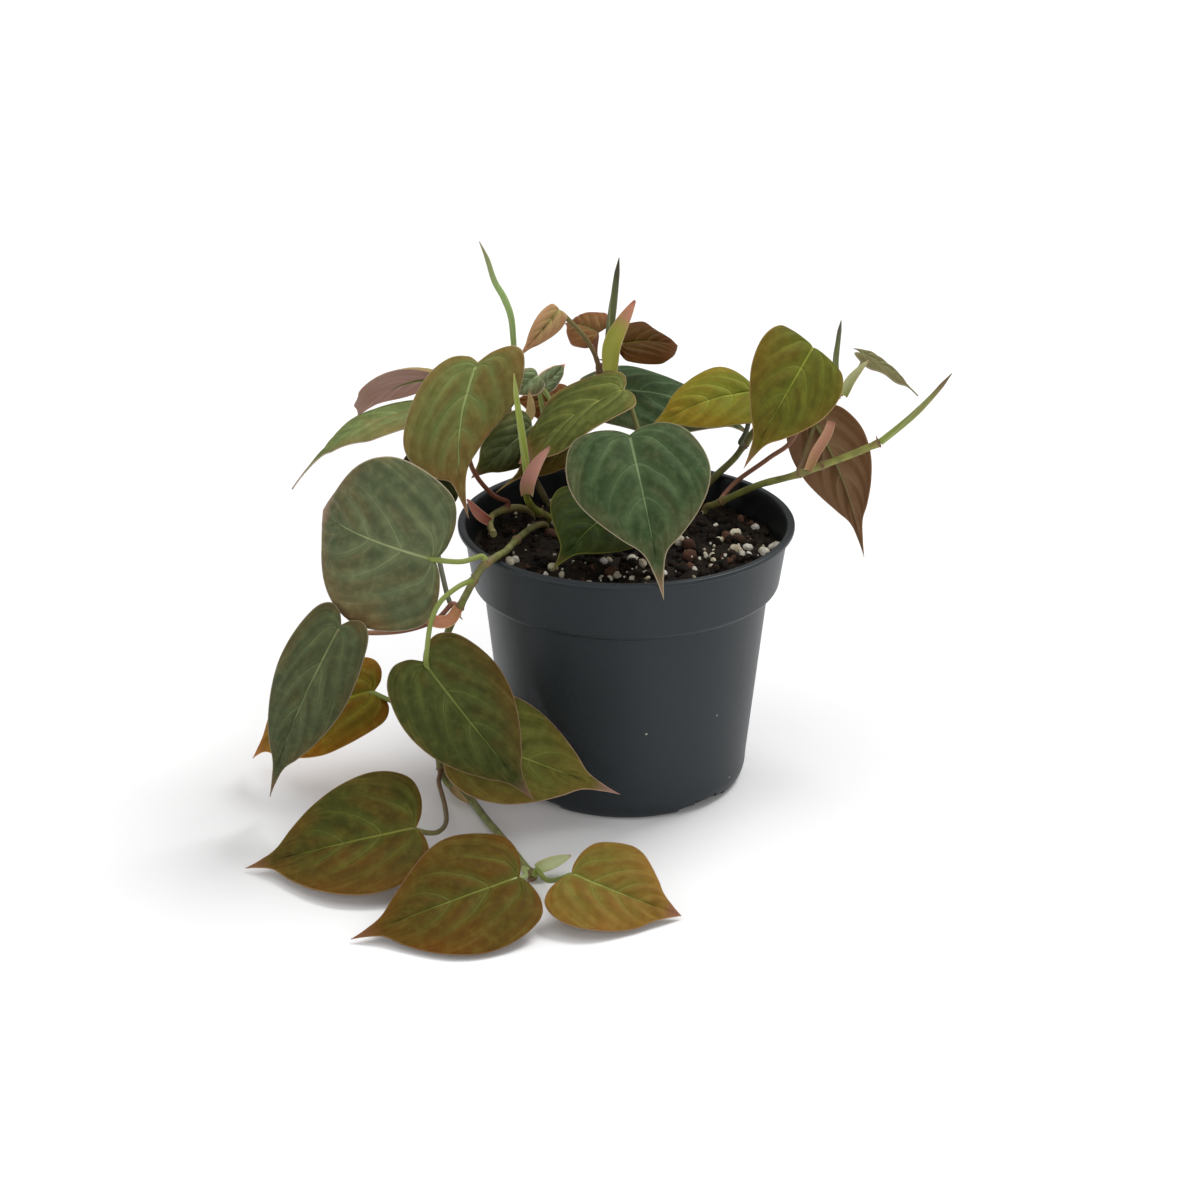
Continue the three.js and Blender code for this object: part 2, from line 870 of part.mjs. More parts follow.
// The blade's middle surface: its points, its triangles and its margin in order.
function bladeSurface(leaf) {
  const { steps, across, firstVein } = BLADE;
  const margin = marginCurve(leaf);
  const places = new Map();
  const points = [];
  const place = (i, j) => {
    const level = Math.abs(j);
    let key = `${i} ${j}`;
    if (i === 0) key = `notch ${level}`;
    if (level === 0 && i / steps <= firstVein) key = "notch 0";
    if (i === steps) key = "tip";
    if (!places.has(key)) {
      places.set(key, points.length);
      points.push(bladePoint(leaf, margin, Math.sign(j) || 1, i / steps, level / across));
    }
    return places.get(key);
  };
  const triangles = [];
  for (let i = 0; i < steps; i += 1) {
    for (let j = -across; j < across; j += 1) {
      const [a, b, c, d] = [place(i, j), place(i + 1, j), place(i + 1, j + 1), place(i, j + 1)];
      triangles.push([a, b, c], [a, c, d]);
    }
  }
  const rim = [];
  for (let i = 0; i <= steps; i += 1) rim.push(place(i, across));
  for (let i = steps - 1; i > 0; i -= 1) rim.push(place(i, -across));
  const whole = triangles.filter(([a, b, c]) => a !== b && b !== c && c !== a);
  return { points, triangles: whole, rim };
}

function bladeGeometry(leaf) {
  const { points, triangles, rim } = bladeSurface(leaf);
  const middle = new THREE.BufferGeometry().setFromPoints(points);
  middle.setIndex(triangles.flat());
  middle.computeVertexNormals();
  const normals = middle.attributes.normal;
  const offset = (share) =>
    points.map((point, i) => {
      const normal = new THREE.Vector3().fromBufferAttribute(normals, i);
      return point.clone().addScaledVector(normal, share * BLADE.thickness);
    });
  const count = points.length;
  const faces = [];
  for (const [a, b, c] of triangles) {
    faces.push([a, b, c], [a + count, c + count, b + count]);
  }
  rim.forEach((a, i) => {
    const b = rim[(i + 1) % rim.length];
    faces.push([a, b, b + count], [a, b + count, a + count]);
  });
  return closedGeometry([...offset(0.5), ...offset(-0.5)], faces);
}

// The share of a vine's length that lies nearest to a place.
function nearestShare(path, place) {
  const points = path.getSpacedPoints(NEAREST_STEPS);
  const distances = points.map((point) => point.distanceTo(place));
  return distances.indexOf(Math.min(...distances)) / NEAREST_STEPS;
}

// A stalk leaves its vine square to it, and runs on through `via` to the blade.
function stalkGeometry(leaf) {
  const [vine, place] = leaf.from;
  const path = vinePaths[vine];
  const share = nearestShare(path, vec(place));
  const middle = path.getPointAt(share);
  const along = path.getTangentAt(share);
  const away = vec(leaf.via[0]).sub(middle).projectOnPlane(along).normalize();
  const start = middle.clone().addScaledVector(away, VINE.radius + GAP);
  const clear = start.clone().addScaledVector(away, STALK.clear);
  const curve = pathThrough([start, clear, ...leaf.via.map(vec), vec(leaf.base)]);
  const steps = Math.max(STALK.sides, Math.round(curve.getLength() / STALK.step));
  return tube(curve, STALK.radius, STALK.sides, steps);
}

function leafGeometry(leaf) {
  const blade = asSolid(bladeGeometry(leaf));
  return asGeometry(blade.add(asSolid(stalkGeometry(leaf))));
}

// Rolled leaves and sheaths

// Rings along a path: size(t) gives half the width and half the depth at a share of it.
function pathRings(path, facing, size, { steps, sides }) {
  const rings = [];
  for (let i = 0; i <= steps; i += 1) {
    const t = i / steps;
    const centre = path.getPoint(t);
    const along = path.getTangent(t);
    const front = vec(facing).projectOnPlane(along).normalize();
    const across = along.cross(front);
    const [halfWidth, halfDepth] = size(t);
    const ring = [];
    for (let k = 0; k < sides; k += 1) {
      const angle = (2 * Math.PI * k) / sides;
      const point = centre.clone().addScaledVector(across, halfWidth * Math.cos(angle));
      ring.push(point.addScaledVector(front, halfDepth * Math.sin(angle)));
    }
    rings.push(ring);
  }
  return rings;
}

function rolledGeometry({ path, radii }) {
  const [foot, middle, tip] = radii;
  const size = (t) => {
    const radius = t < 0.5
      ? THREE.MathUtils.lerp(foot, middle, 2 * t)
      : THREE.MathUtils.lerp(middle, tip, 2 * t - 1);
    return [radius, radius];
  };
  return loft(pathRings(pathThrough(path.map(vec)), [0, -1, 0.1], size, ROLL));
}

function sheathGeometry({ path, facing, width, blunt = 0 }) {
  const size = (t) => {
    const bow = 0.25 + (0.72 - 0.25 * blunt) * t;
    const swell = Math.max(SHEATH.tip, Math.sin(Math.PI * bow) ** 0.7);
    return [(swell * width) / 2, SHEATH.edgeDepth + SHEATH.swellDepth * swell];
  };
  return loft(pathRings(pathThrough(path.map(vec)), facing, size, SHEATH));
}

// The plant in its pot

const plant = new THREE.Group();
plant.add(node("nursery_pot", potGeometry(), "pot"));
plant.add(node("potting_mix", soilGeometry(), "soil"));
for (const [name, path] of Object.entries(vinePaths)) {
  plant.add(node(name, vineGeometry(path), "vine"));
}
for (const [name, leaf] of Object.entries(LEAVES)) {
  plant.add(node(name, leafGeometry(leaf), "leaf"));
}
for (const [name, rolled] of Object.entries(ROLLED_LEAVES)) {
  plant.add(node(name, rolledGeometry(rolled), "rolled"));
}
for (const [name, sheath] of Object.entries(SHEATHS)) {
  plant.add(node(name, sheathGeometry(sheath), "sheath"));
}

export default plant;
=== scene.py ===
"""Potted velvet-leaf philodendron: its looks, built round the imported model, the fixed frame.

Metres and +Z up in Blender. The tables below are in millimetres, as the part's own source is.
"""

import json
import math

import bpy
import numpy as np
from bpy.props import (
    FloatProperty,
    FloatVectorProperty,
    IntProperty,
    PointerProperty,
)
from bpy.types import Operator, Panel, PropertyGroup
from mathutils import Vector, noise
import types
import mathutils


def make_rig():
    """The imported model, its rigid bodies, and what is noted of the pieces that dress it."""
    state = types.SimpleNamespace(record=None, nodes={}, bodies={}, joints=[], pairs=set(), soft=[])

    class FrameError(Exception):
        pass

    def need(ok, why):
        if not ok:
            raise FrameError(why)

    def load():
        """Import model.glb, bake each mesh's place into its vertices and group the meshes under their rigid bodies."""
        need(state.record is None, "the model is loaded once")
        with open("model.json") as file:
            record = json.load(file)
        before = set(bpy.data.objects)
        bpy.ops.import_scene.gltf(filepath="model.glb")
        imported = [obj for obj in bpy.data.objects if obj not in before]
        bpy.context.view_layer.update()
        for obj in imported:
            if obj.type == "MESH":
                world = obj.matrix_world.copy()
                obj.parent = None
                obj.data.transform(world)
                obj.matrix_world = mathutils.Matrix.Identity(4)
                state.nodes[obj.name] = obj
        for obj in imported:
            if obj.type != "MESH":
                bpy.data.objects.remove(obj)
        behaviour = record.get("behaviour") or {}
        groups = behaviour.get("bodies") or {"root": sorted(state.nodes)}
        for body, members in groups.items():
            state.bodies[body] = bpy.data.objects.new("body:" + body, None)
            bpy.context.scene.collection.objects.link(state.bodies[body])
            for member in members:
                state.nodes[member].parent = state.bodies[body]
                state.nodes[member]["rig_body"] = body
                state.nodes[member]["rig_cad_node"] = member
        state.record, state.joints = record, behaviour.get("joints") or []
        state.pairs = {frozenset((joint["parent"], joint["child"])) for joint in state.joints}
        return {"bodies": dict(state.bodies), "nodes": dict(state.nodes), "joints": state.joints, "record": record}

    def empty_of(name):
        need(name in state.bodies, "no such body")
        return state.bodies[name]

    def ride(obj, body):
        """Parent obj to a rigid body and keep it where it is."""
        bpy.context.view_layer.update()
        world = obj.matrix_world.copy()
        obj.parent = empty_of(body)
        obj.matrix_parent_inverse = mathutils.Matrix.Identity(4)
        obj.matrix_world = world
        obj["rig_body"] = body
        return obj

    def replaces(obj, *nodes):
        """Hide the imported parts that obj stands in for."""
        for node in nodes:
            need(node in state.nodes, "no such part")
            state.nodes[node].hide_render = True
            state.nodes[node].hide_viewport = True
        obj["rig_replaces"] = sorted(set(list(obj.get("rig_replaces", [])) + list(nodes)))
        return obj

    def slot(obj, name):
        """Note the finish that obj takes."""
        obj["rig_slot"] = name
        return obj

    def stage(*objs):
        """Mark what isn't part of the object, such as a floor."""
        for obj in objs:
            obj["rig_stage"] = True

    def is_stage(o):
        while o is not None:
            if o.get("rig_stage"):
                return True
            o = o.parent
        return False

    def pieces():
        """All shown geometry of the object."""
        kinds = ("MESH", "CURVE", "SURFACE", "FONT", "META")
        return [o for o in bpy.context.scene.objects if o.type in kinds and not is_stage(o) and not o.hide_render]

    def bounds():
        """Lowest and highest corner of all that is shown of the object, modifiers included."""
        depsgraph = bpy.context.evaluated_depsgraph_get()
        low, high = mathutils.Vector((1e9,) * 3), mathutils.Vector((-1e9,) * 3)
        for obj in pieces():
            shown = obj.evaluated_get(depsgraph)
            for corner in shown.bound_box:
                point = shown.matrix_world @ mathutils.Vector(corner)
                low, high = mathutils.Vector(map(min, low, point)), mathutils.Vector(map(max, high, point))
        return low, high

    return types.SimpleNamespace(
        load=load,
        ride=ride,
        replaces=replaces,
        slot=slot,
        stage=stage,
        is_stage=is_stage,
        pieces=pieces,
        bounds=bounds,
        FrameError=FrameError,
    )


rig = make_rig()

bl_info = {
    "name": "Potted Velvet-Leaf Philodendron",
    "version": (1, 0, 0),
    "blender": (4, 5, 0),
    "location": "3D Viewport > Sidebar > Philodendron",
    "description": "Builds a trailing velvet-leaf philodendron in its nursery pot",
    "category": "Add Mesh",
}

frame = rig.load()
cad_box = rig.bounds()

MM = 0.001
BODY = "root"
SIZE_FILE = "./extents.json"
PHOTO_SIDE = 1200  # pixels of the photograph's frame
FOCAL_PIXELS = 2950
CAMERA_PLACE = (-8.4, -879.2, 436.3)  # in millimetres
CAMERA_PITCH = 23.16  # degrees below level
SENSOR = 36

# The plant, in millimetres

POT = {
    "height": 88,
    "wall": 1,
    "lip_radius": 54,
    "lip_inner_radius": 51.6,
    "lip_depth": 1.6,
    "band_top_radius": 52.1,
    "band_foot_radius": 49.4,
    "band_foot_height": 68.4,
    "band_chamfer": 1.2,
    "body_top_radius": 46,
    "body_top_height": 66.6,
    "body_foot_radius": 39.8,
    "body_foot_height": 9,
    "corner_radius": 39.5,
    "corner_height": 4.4,
    "heel_radius": 38.6,
    "heel_height": 1.6,
    "ring_radius": 36.9,
    "ring_inner_radius": 34.4,
    "floor_radius": 33.4,
    "floor_underside": 1.5,
    "inner_corner_radius": 37.2,
    "inner_corner_height": 4.2,
}

BAND_CLIMB = POT["height"] - POT["lip_depth"] - POT["band_foot_height"]  # its height up to the lip
POT_SECTORS = 192
SHARP_EDGE = 40  # degrees from which an edge of the pot stays sharp

# Cuts at the foot of the pot: arches between the feet, and drain slots above them

DRAIN_COUNT = 4
DRAIN_FIRST_ANGLE = -48.5  # degrees from +X, seen from above
DRAIN_CUTS = {
    "arch": {"width": 20, "depth": 12, "bottom": -1, "top": 2.2, "radius": 40.8},
    "slot": {"width": 9, "depth": 5, "bottom": 0.5, "top": 4.9, "radius": 36.5},
}

SOIL_SURFACE = 78
SOIL_RELIEF = 0.7
ROOT_DEPTH = 9  # how far a vine goes down into the mix

# How thickly grains lie on the mix: the share that lies everywhere, then heaps of more, each
# with its middle, its reach and its share

PLENTY = {
    "peat_crumbs": [1],
    "perlite_grains": [
        0.75, (22, -4, 6, 3.2), (38, -4, 6, 2.6), (29, -34, 9, 1.4), (-17, -24, 5, 1.6),
        (-1, -24, 5, 1.8), (-34, -2, 12, -0.55), (10, -43, 8, 0.9),
    ],
    "bark_crumbs": [0.55, (45, 18, 9, 2.2), (40, 10, 12, 0.8), (-30, 0, 14, -0.3)],
}

# The kinds of grain: how many per square metre, their least and largest width in metres, how far
# their middles stand above the mix as a share of their width, the height of their lumps, and how
# finely each is made. A greater rarity makes large ones fewer. The widest perlite is a setting

GRAINS = {
    "peat_crumbs": {
        "density": 60000, "smallest": 0.0010, "largest": 0.0042, "rarity": 1.6, "stand": 0.10,
        "lumps": 0.0005, "fineness": 2,
    },
    "perlite_grains": {
        "density": 26000, "smallest": 0.0007, "rarity": 2.6, "stand": 0.12,
        "lumps": 0.0003, "fineness": 3,
    },
    "bark_crumbs": {
        "density": 9000, "smallest": 0.0014, "largest": 0.0060, "rarity": 1.8, "stand": 0.08,
        "lumps": 0.0009, "fineness": 2,
    },
}

# Joints of the vines that bear no open leaf

EXTRA_JOINTS = {
    "trailing_vine": [(-35, -7, 84)],
    "front_shoot": [(-28, 18, 83.5)],
    "back_vine": [(-6, 44, 127)],
    "left_back_vine": [(-36.4, 26, 128)],
    "right_vine": [(64, 22, 98.5), (82, 20, 107)],
    "right_back_vine": [(70, 34, 119.5)],
}

# How finely the leaves are made, and where their side veins run

BLADE_STEPS = 88  # along each margin, from the notch to the tip
BLADE_OUT = 18  # from the midrib to the margin
FIRST_VEIN = 0.35  # share of the margin whose veins all start at the stalk
VEIN_BEND = 0.5  # how far a side vein bends towards the tip
LOBE_VEIN = 0.06  # share of the margin that the first side vein starts towards
VEIN_RATE = 3.7  # side veins per share of the margin, at the first one
VEIN_CROWDING = 3.2  # how their number grows towards the tip
QUILT_STEEPNESS = 0.18  # most height of the quilting, as a share of the way between two veins
WAVE_HEIGHT = 0.7  # of the margin
STALK_STEP = 0.5  # between the rings of a stalk
STALK_SIDES = 12
ROLL_SIDES = 40  # points round a rolled leaf
SHEATH_SIDES = 17  # points across each face of a sheath

FLOOR_REACH = 6  # from the pot's axis to each side, in metres

LIGHTS = [
    # name, place, aim, size, share of the key's power
    ("key", (1.4, 1.3, 3.0), (0, 0, 0), (1.5, 1.5), 1.0),
    ("top", (-0.2, -0.4, 3.4), (0, 0, 0), (3.0, 2.6), 0.28),
    ("front", (0.9, -3.6, 1.8), (0, 0, 0.05), (2.6, 1.5), 0.45),
    ("left", (-2.8, -0.5, 0.9), (0, 0, 0.06), (1.4, 1.4), 0.16),
]

VINES = {
    "trailing_vine": [
        (-26, 17, 79), (-30, 9, 82), (-35, -7, 84), (-38, -24, 87), (-40.5, -36.5, 90.3),
        (-45, -41.5, 88.5), (-49.5, -41, 80), (-51.5, -38, 75), (-55, -36, 67), (-58, -33, 57),
        (-60.5, -28, 38), (-61, -21, 17), (-59, -16.5, 3.5), (-55, -21, 2), (-50, -28, 2),
        (-45.4, -40, 2), (-40.2, -52, 2), (-36, -62, 2), (-32.4, -71, 2), (-29, -80, 2),
    ],
    "left_side_shoot": [
        (-31, 27, 79), (-34, 26, 82), (-39, 24, 82.5), (-43.5, 18, 82.5), (-44, 8, 83),
        (-42.5, -2, 84),
    ],
    "front_shoot": [
        (-25, 23.5, 79), (-28, 18, 83.5), (-30.5, 10, 89), (-32, 3, 95.5), (-31.5, 0, 102),
    ],
    "back_vine": [
        (-17, 41, 79), (-20, 40.5, 97), (-22, 40.5, 109), (-18, 41, 117), (-12, 42, 120),
        (-7.2, 43.3, 123.5), (-6, 44, 128),
    ],
    "left_back_vine": [
        (-26, 37, 79), (-33, 37, 94), (-38, 36, 108), (-38, 30, 120), (-36.4, 26, 128),
        (-36, 25.5, 132),
    ],
    "centre_vine": [(6, 16, 79), (6, 14, 87), (7, 13, 96), (6, 15, 104)],
    "right_vine": [
        (26.5, 32.5, 79), (29.5, 30.8, 81.4), (34.5, 28.2, 84.9), (39.6, 26, 88.3),
        (44.7, 24.3, 91.2), (55.1, 22.6, 94.8), (64, 22, 98.5), (73, 21.3, 102.4), (82, 20, 107),
    ],
    "right_back_vine": [
        (22, 38, 79), (29, 39.5, 87), (36, 40, 94), (39.5, 39, 99.5), (45, 38, 107),
        (57, 36, 112.5), (65, 35, 115.5), (70, 34, 119.5),
    ],
}

# A leaf's tint multiplies its tone: partly the leaf's own colour, partly painted light and shade that makes the whole
# leaf lighter or darker
LEAVES = {
    "leaf_front_centre": {
        "base": (1, -22, 124), "tip": (11, -56, 84), "facing": (0, -1, 0.75), "width": 44,
        "bow": 5, "shear": -0.03, "lobe": 0.08, "drip": 0.24, "belly": 0.34,
        "from": ("centre_vine", (6, 14, 90)), "via": [(4, 6, 100), (1, -10, 117)],
        "tone": "forest", "stalk": "grey", "bronze": (0.05, 0, 0.2), "tint": (1.16, 1.12, 1.25),
    },
    "leaf_upper_left": {
        "base": (-47.4, 3, 138.8), "tip": (-50, -8, 91.6), "facing": (-0.45, -1, 0.2),
        "width": 36.5, "bow": 4, "sway": 3, "shear": 0.22, "fold": (15, -58), "lobe": 0.1,
        "drip": 0.26, "belly": 0.38,
        "from": ("left_side_shoot", (-39, 24, 82)),
        "via": [(-44, 19, 90), (-50, 11, 103), (-51, 9, 120), (-48, 6, 134)],
        "tone": "olive", "stalk": "red_brown", "bronze": (0.4, -0.1, 0.35),
        "tint": (1.16, 1.22, 1.33),
    },
    "leaf_left_round": {
        "base": (-60.3, -40, 91), "tip": (-95.5, -14, 97), "facing": (-0.3, -1, 0.3), "width": 54,
        "bow": 10, "shear": 0.03, "lobe": 0.08, "drip": 0.08, "belly": 0.36, "blunt": 0.3,
        "from": ("trailing_vine", (-44, -40, 91)), "via": [(-50, -43, 91.5), (-55, -43, 91.5)],
        "tone": "sage", "stalk": "green", "bronze": (0.02, -0.15, 0.15),
        "tint": (1.27, 1.2, 1.46),
    },
    "leaf_low_left": {
        "base": (-89, -46, 70), "tip": (-114, -36, 7), "facing": (-0.35, -1, 0.3), "width": 26,
        "bow": 6, "lobe": 0.08, "drip": 0.2, "belly": 0.34,
        "from": ("trailing_vine", (-52, -38, 74)),
        "via": [(-60, -35, 68.2), (-70, -38, 66), (-82, -44, 68)],
        "tone": "sage", "stalk": "brown_pink", "bronze": (0.05, 0, 0.15),
        "tint": (0.82, 0.79, 0.85),
    },
    "leaf_low_left_back": {
        "base": (-83, -9, 31.6), "tip": (-123, -4, 5), "facing": (-0.2, -0.7, 0.7), "width": 31,
        "bow": 9, "shear": -0.03, "lobe": 0.08, "drip": 0.14, "belly": 0.38,
        "from": ("trailing_vine", (-61, -24, 25)), "via": [(-66, -18, 26), (-74, -13, 29)],
        "tone": "bronze", "stalk": "green", "bronze": (0.5, 0, 0.1), "tint": (1.62, 1.53, 1.03),
    },
    "leaf_front_left": {
        "base": (-62, -51, 60), "tip": (-29, -58, 17), "facing": (0.1, -1, 0.5), "width": 35,
        "bow": 5, "sway": 0.5, "lobe": 0.1, "drip": 0.16, "belly": 0.3,
        "from": ("trailing_vine", (-47.5, -41.5, 85)),
        "via": [(-52, -48, 85), (-57, -52, 82), (-60, -54, 76), (-61.5, -55, 66)],
        "tone": "moss", "stalk": "green", "bronze": (0.1, -0.3, 0), "tint": (0.95, 0.9, 1.14),
    },
    "leaf_beside_pot": {
        "base": (-51, -41, 31), "tip": (-2, -46, 13), "facing": (0, -0.8, 0.6), "width": 35,
        "bow": 1, "drip": 0.2,
        "from": ("trailing_vine", (-61, -25, 28)), "via": [(-61, -31, 29), (-57, -39, 30)],
        "tone": "fern", "stalk": "green", "bronze": (0.2, 0.2, 0.2), "tint": (1.33, 1.18, 2.09),
    },
    "leaf_floor_left": {
        "base": (-66, -73, 15), "tip": (-118, -73, 1.2), "facing": (0, -0.47, 0.88), "width": 45,
        "bow": 3, "sway": -1.5, "shear": -0.03, "fold": (10, 10), "lobe": 0.07, "drip": 0.16,
        "belly": 0.3, "droop": 1,
        "from": ("trailing_vine", (-60.2, -18.5, 8)),
        "via": [
            (-60.5, -25, 6.5), (-58, -38, 5), (-57, -52, 6), (-59, -65, 9.5), (-63, -71.5, 13),
        ],
        "tone": "moss", "stalk": "brown", "bronze": (0.45, -0.4, 0), "tint": (1.04, 0.88, 0.78),
    },
    "leaf_floor_centre": {
        "base": (-33.4, -100, 12.5), "tip": (-82, -117, 1.2), "facing": (0, -0.47, 0.88),
        "width": 43, "bow": 3, "sway": -1.5, "shear": -0.05, "fold": (2, 5), "lobe": 0.07,
        "drip": 0.16, "belly": 0.34, "droop": 1,
        "from": ("trailing_vine", (-30.4, -77, 2)), "via": [(-31, -87, 6)],
        "tone": "bronze", "stalk": "pale", "bronze": (0.45, 0, 0.1), "tint": (0.85, 0.83, 0.91),
    },
    "leaf_floor_right": {
        "base": (-16.3, -98, 12.6), "tip": (16, -103, 1.2), "facing": (0, -0.47, 0.88),
        "width": 35, "bow": 2, "sway": 1.5, "shear": -0.07, "fold": (6, 2), "lobe": 0.07,
        "drip": 0.18, "belly": 0.34, "blunt": 0.45, "droop": 1,
        "from": ("trailing_vine", (-29, -80, 2)), "via": [(-24, -88, 5)],
        "tone": "amber", "stalk": "green", "bronze": (0.5, 0, 0.2), "tint": (0.96, 1.1, 1.35),
    },
    "leaf_centre_folded": {
        "base": (-1.5, 21, 124.5), "tip": (-34.7, 18, 100.5), "facing": (0, -0.2, 1), "width": 34,
        "bow": 3, "fold": (4, 11), "drip": 0.08, "belly": 0.5, "blunt": 0.5,
        "from": ("centre_vine", (6, 15, 102)), "via": [(4, 19, 111), (0.5, 22, 121.8)],
        "tone": "moss", "stalk": "olive", "bronze": (0, 0.3, 0.1), "tint": (1.71, 1.55, 1.93),
    },
    "leaf_centre_dark": {
        "base": (-31, 30.6, 108.9), "tip": (-50.6, 23.5, 93.4), "facing": (-0.3, -1, 0),
        "width": 18, "bow": 2, "fold": (4, -22), "belly": 0.42, "blunt": 0.5,
        "from": ("left_back_vine", (-33.5, 37, 95)), "via": [(-29, 35.8, 97), (-27.5, 31.5, 104)],
        "tone": "night", "stalk": "olive", "bronze": (0.25, 0, 0), "tint": (2.72, 2.32, 2.72),
    },
    "leaf_centre_brown": {
        "base": (-17.6, 30, 102.3), "tip": (-42.1, 14, 92), "facing": (0.2, -0.75, 1),
        "width": 12.5, "bow": 3, "drip": 0.25,
        "from": ("back_vine", (-18.5, 40.8, 90)), "via": [(-15.5, 38, 93.5), (-15, 33, 99.5)],
        "tone": "moss", "stalk": "olive", "bronze": (0.9, 0, 0),
    },
    "leaf_back_brown": {
        "base": (-17.8, 56, 106.3), "tip": (-40.2, 56, 108.4), "facing": (0, -0.5, 1),
        "width": 20, "bow": 2,
        "from": ("back_vine", (-20, 40.5, 97)), "via": [(-15.5, 46, 101), (-14.5, 53, 103.5)],
        "tone": "copper", "stalk": "olive", "bronze": (0.3, 0, 0),
    },
    "leaf_back_grey": {
        "base": (-29.2, 46, 121), "tip": (-37.6, 46, 113.3), "facing": (-0.3, -1, 0.4),
        "width": 10, "bow": 1.5,
        "from": ("back_vine", (-20.8, 40.5, 102)), "via": [(-26.5, 43, 106.5), (-28, 45, 113)],
        "tone": "forest", "stalk": "green", "bronze": (0.1, 0, 0), "tint": (3.1, 2.47, 3.36),
    },
    "leaf_far_left_pink": {
        "base": (-58, 36, 123.4), "tip": (-88, 36, 110.5), "facing": (0, 0.6, 0.8), "width": 26,
        "bow": 5, "shear": -0.25, "drip": 0.1, "belly": 0.6, "blunt": 0.5,
        "from": ("left_back_vine", (-38, 36, 108)), "via": [(-46, 38, 117), (-53, 38, 122)],
        "tone": "rose", "stalk": "green", "bronze": (0.5, 0, 0), "tint": (1.47, 1.52, 1.67),
    },
    "leaf_far_left_long": {
        "base": (-62, 19, 118.5), "tip": (-108, 12, 94), "facing": (-0.15, 0.05, 1), "width": 31,
        "bow": 7, "drip": 0.26, "belly": 0.5,
        "from": ("left_back_vine", (-36, 36.5, 101)), "via": [(-43, 31, 107), (-54, 23, 114)],
        "tone": "olive", "stalk": "green", "bronze": (0.25, 0, 0), "tint": (1.25, 1.35, 1.8),
    },
    "leaf_left_back_dark": {
        "base": (-63, 3, 91.5), "tip": (-70, 16, 111), "facing": (0, -1, 0.6), "width": 22,
        "bow": 3,
        "from": ("trailing_vine", (-53, -37, 72)), "via": [(-56, -30, 74), (-60, -12, 82)],
        "tone": "night", "stalk": "grey", "bronze": (0.3, 0, 0),
    },
    "leaf_back_centre": {
        "base": (-6, 50, 114.8), "tip": (46, 62, 91.8), "facing": (0, -0.25, 1), "width": 31,
        "bow": 6, "fold": (-20, 4), "lobe": 0.13, "drip": 0.2,
        "from": ("back_vine", (-9, 43, 122)), "via": [(-8, 48, 118.6)],
        "tone": "forest", "stalk": "grey", "bronze": (0.05, 0, 0), "tint": (1.2, 1.21, 1.39),
    },
    "leaf_back_small": {
        "base": (-27.8, 50, 115.9), "tip": (-20, 56, 122), "facing": (0.3, -1, 0.5), "width": 7.2,
        "bow": 2, "lobe": 0.03, "blunt": 0.9,
        "from": ("back_vine", (-22, 40.5, 106)), "via": [(-24, 43, 112)],
        "tone": "forest", "stalk": "green", "bronze": (0.1, 0, 0), "tint": (3.75, 2.86, 4.22),
    },
    "leaf_right_gold": {
        "base": (41, 34, 119.3), "tip": (6.6, 20, 110.8), "facing": (0, -0.45, 0.9), "width": 28,
        "bow": 4, "blunt": 0.4,
        "from": ("right_back_vine", (39.5, 39, 99.5)), "via": [(40, 36, 106), (41, 35, 115)],
        "tone": "gold", "stalk": "grey", "bronze": (0.45, 0, 0), "tint": (0.98, 1.05, 1.02),
    },
    "leaf_right_heart": {
        "base": (59.2, 14, 141.4), "tip": (37, -4, 107), "facing": (0, -1, 0.5), "width": 31,
        "bow": 4, "shear": -0.04, "fold": (4, -8), "lobe": 0.02,
        "from": ("right_vine", (33, 32.3, 84)),
        "via": [(37.5, 34, 89), (47, 30, 98), (55, 24, 108), (59, 17, 130)],
        "tone": "fern", "stalk": "brown_pink", "bronze": (0.25, 0, 0.1),
        "tint": (1.08, 0.96, 1.01),
    },
    "leaf_right_hanging": {
        "base": (62.5, 36.5, 108.4), "tip": (79, 24, 65.2), "facing": (0.15, 1, 0.1), "width": 26,
        "bow": 3, "sway": 1.5, "drip": 0.22,
        "from": ("right_vine", (57, 22.6, 95.5)), "via": [(58, 28, 97.5), (61, 36, 103.5)],
        "tone": "bronze", "stalk": "brown", "bronze": (0.4, 0, 0), "tint": (0.77, 0.76, 0.84),
    },
    "leaf_far_right_small": {
        "base": (78.3, 33, 132.3), "tip": (95.6, 34, 118.2), "facing": (0.2, -0.15, 1),
        "width": 10, "bow": 1, "lobe": 0.2,
        "from": ("right_back_vine", (66.5, 34.7, 116.5)),
        "via": [(71.5, 37, 119.5), (76, 35, 127)],
        "tone": "pale", "stalk": "pale", "bronze": (0.3, 0, 0), "tint": (0.77, 0.68, 0.77),
    },
    "leaf_top_right": {
        "base": (-1.4, 49, 131), "tip": (17.5, 62, 126.3), "facing": (0.2, -0.5, 0.85),
        "width": 18, "bow": 2, "drip": 0.05, "belly": 0.5, "blunt": 0.4,
        "from": ("back_vine", (-6, 44, 127)), "via": [(-4, 47.5, 130)],
        "tone": "copper", "stalk": "red_brown", "bronze": (0.4, 0, 0), "tint": (0.61, 0.57, 0.32),
    },
    "leaf_top_left": {
        "base": (-9.4, 48, 135.5), "tip": (-20, 60, 134.5), "facing": (-0.2, -0.6, 0.8),
        "width": 16, "bow": 2, "blunt": 0.3,
        "from": ("back_vine", (-7, 43.5, 125)), "via": [(-10, 46, 129)],
        "tone": "copper", "stalk": "red_brown", "bronze": (0.6, 0, 0), "tint": (1.53, 1.69, 3.27),
    },
    "leaf_top_small": {
        "base": (-21.6, 32, 148), "tip": (-34.5, 27, 134), "facing": (0, -1, 0.4), "width": 8.5,
        "bow": 1, "lobe": 0.03, "blunt": 0.3,
        "from": ("back_vine", (-8, 43, 123.5)), "via": [(-9.5, 40, 129), (-13.5, 36, 138)],
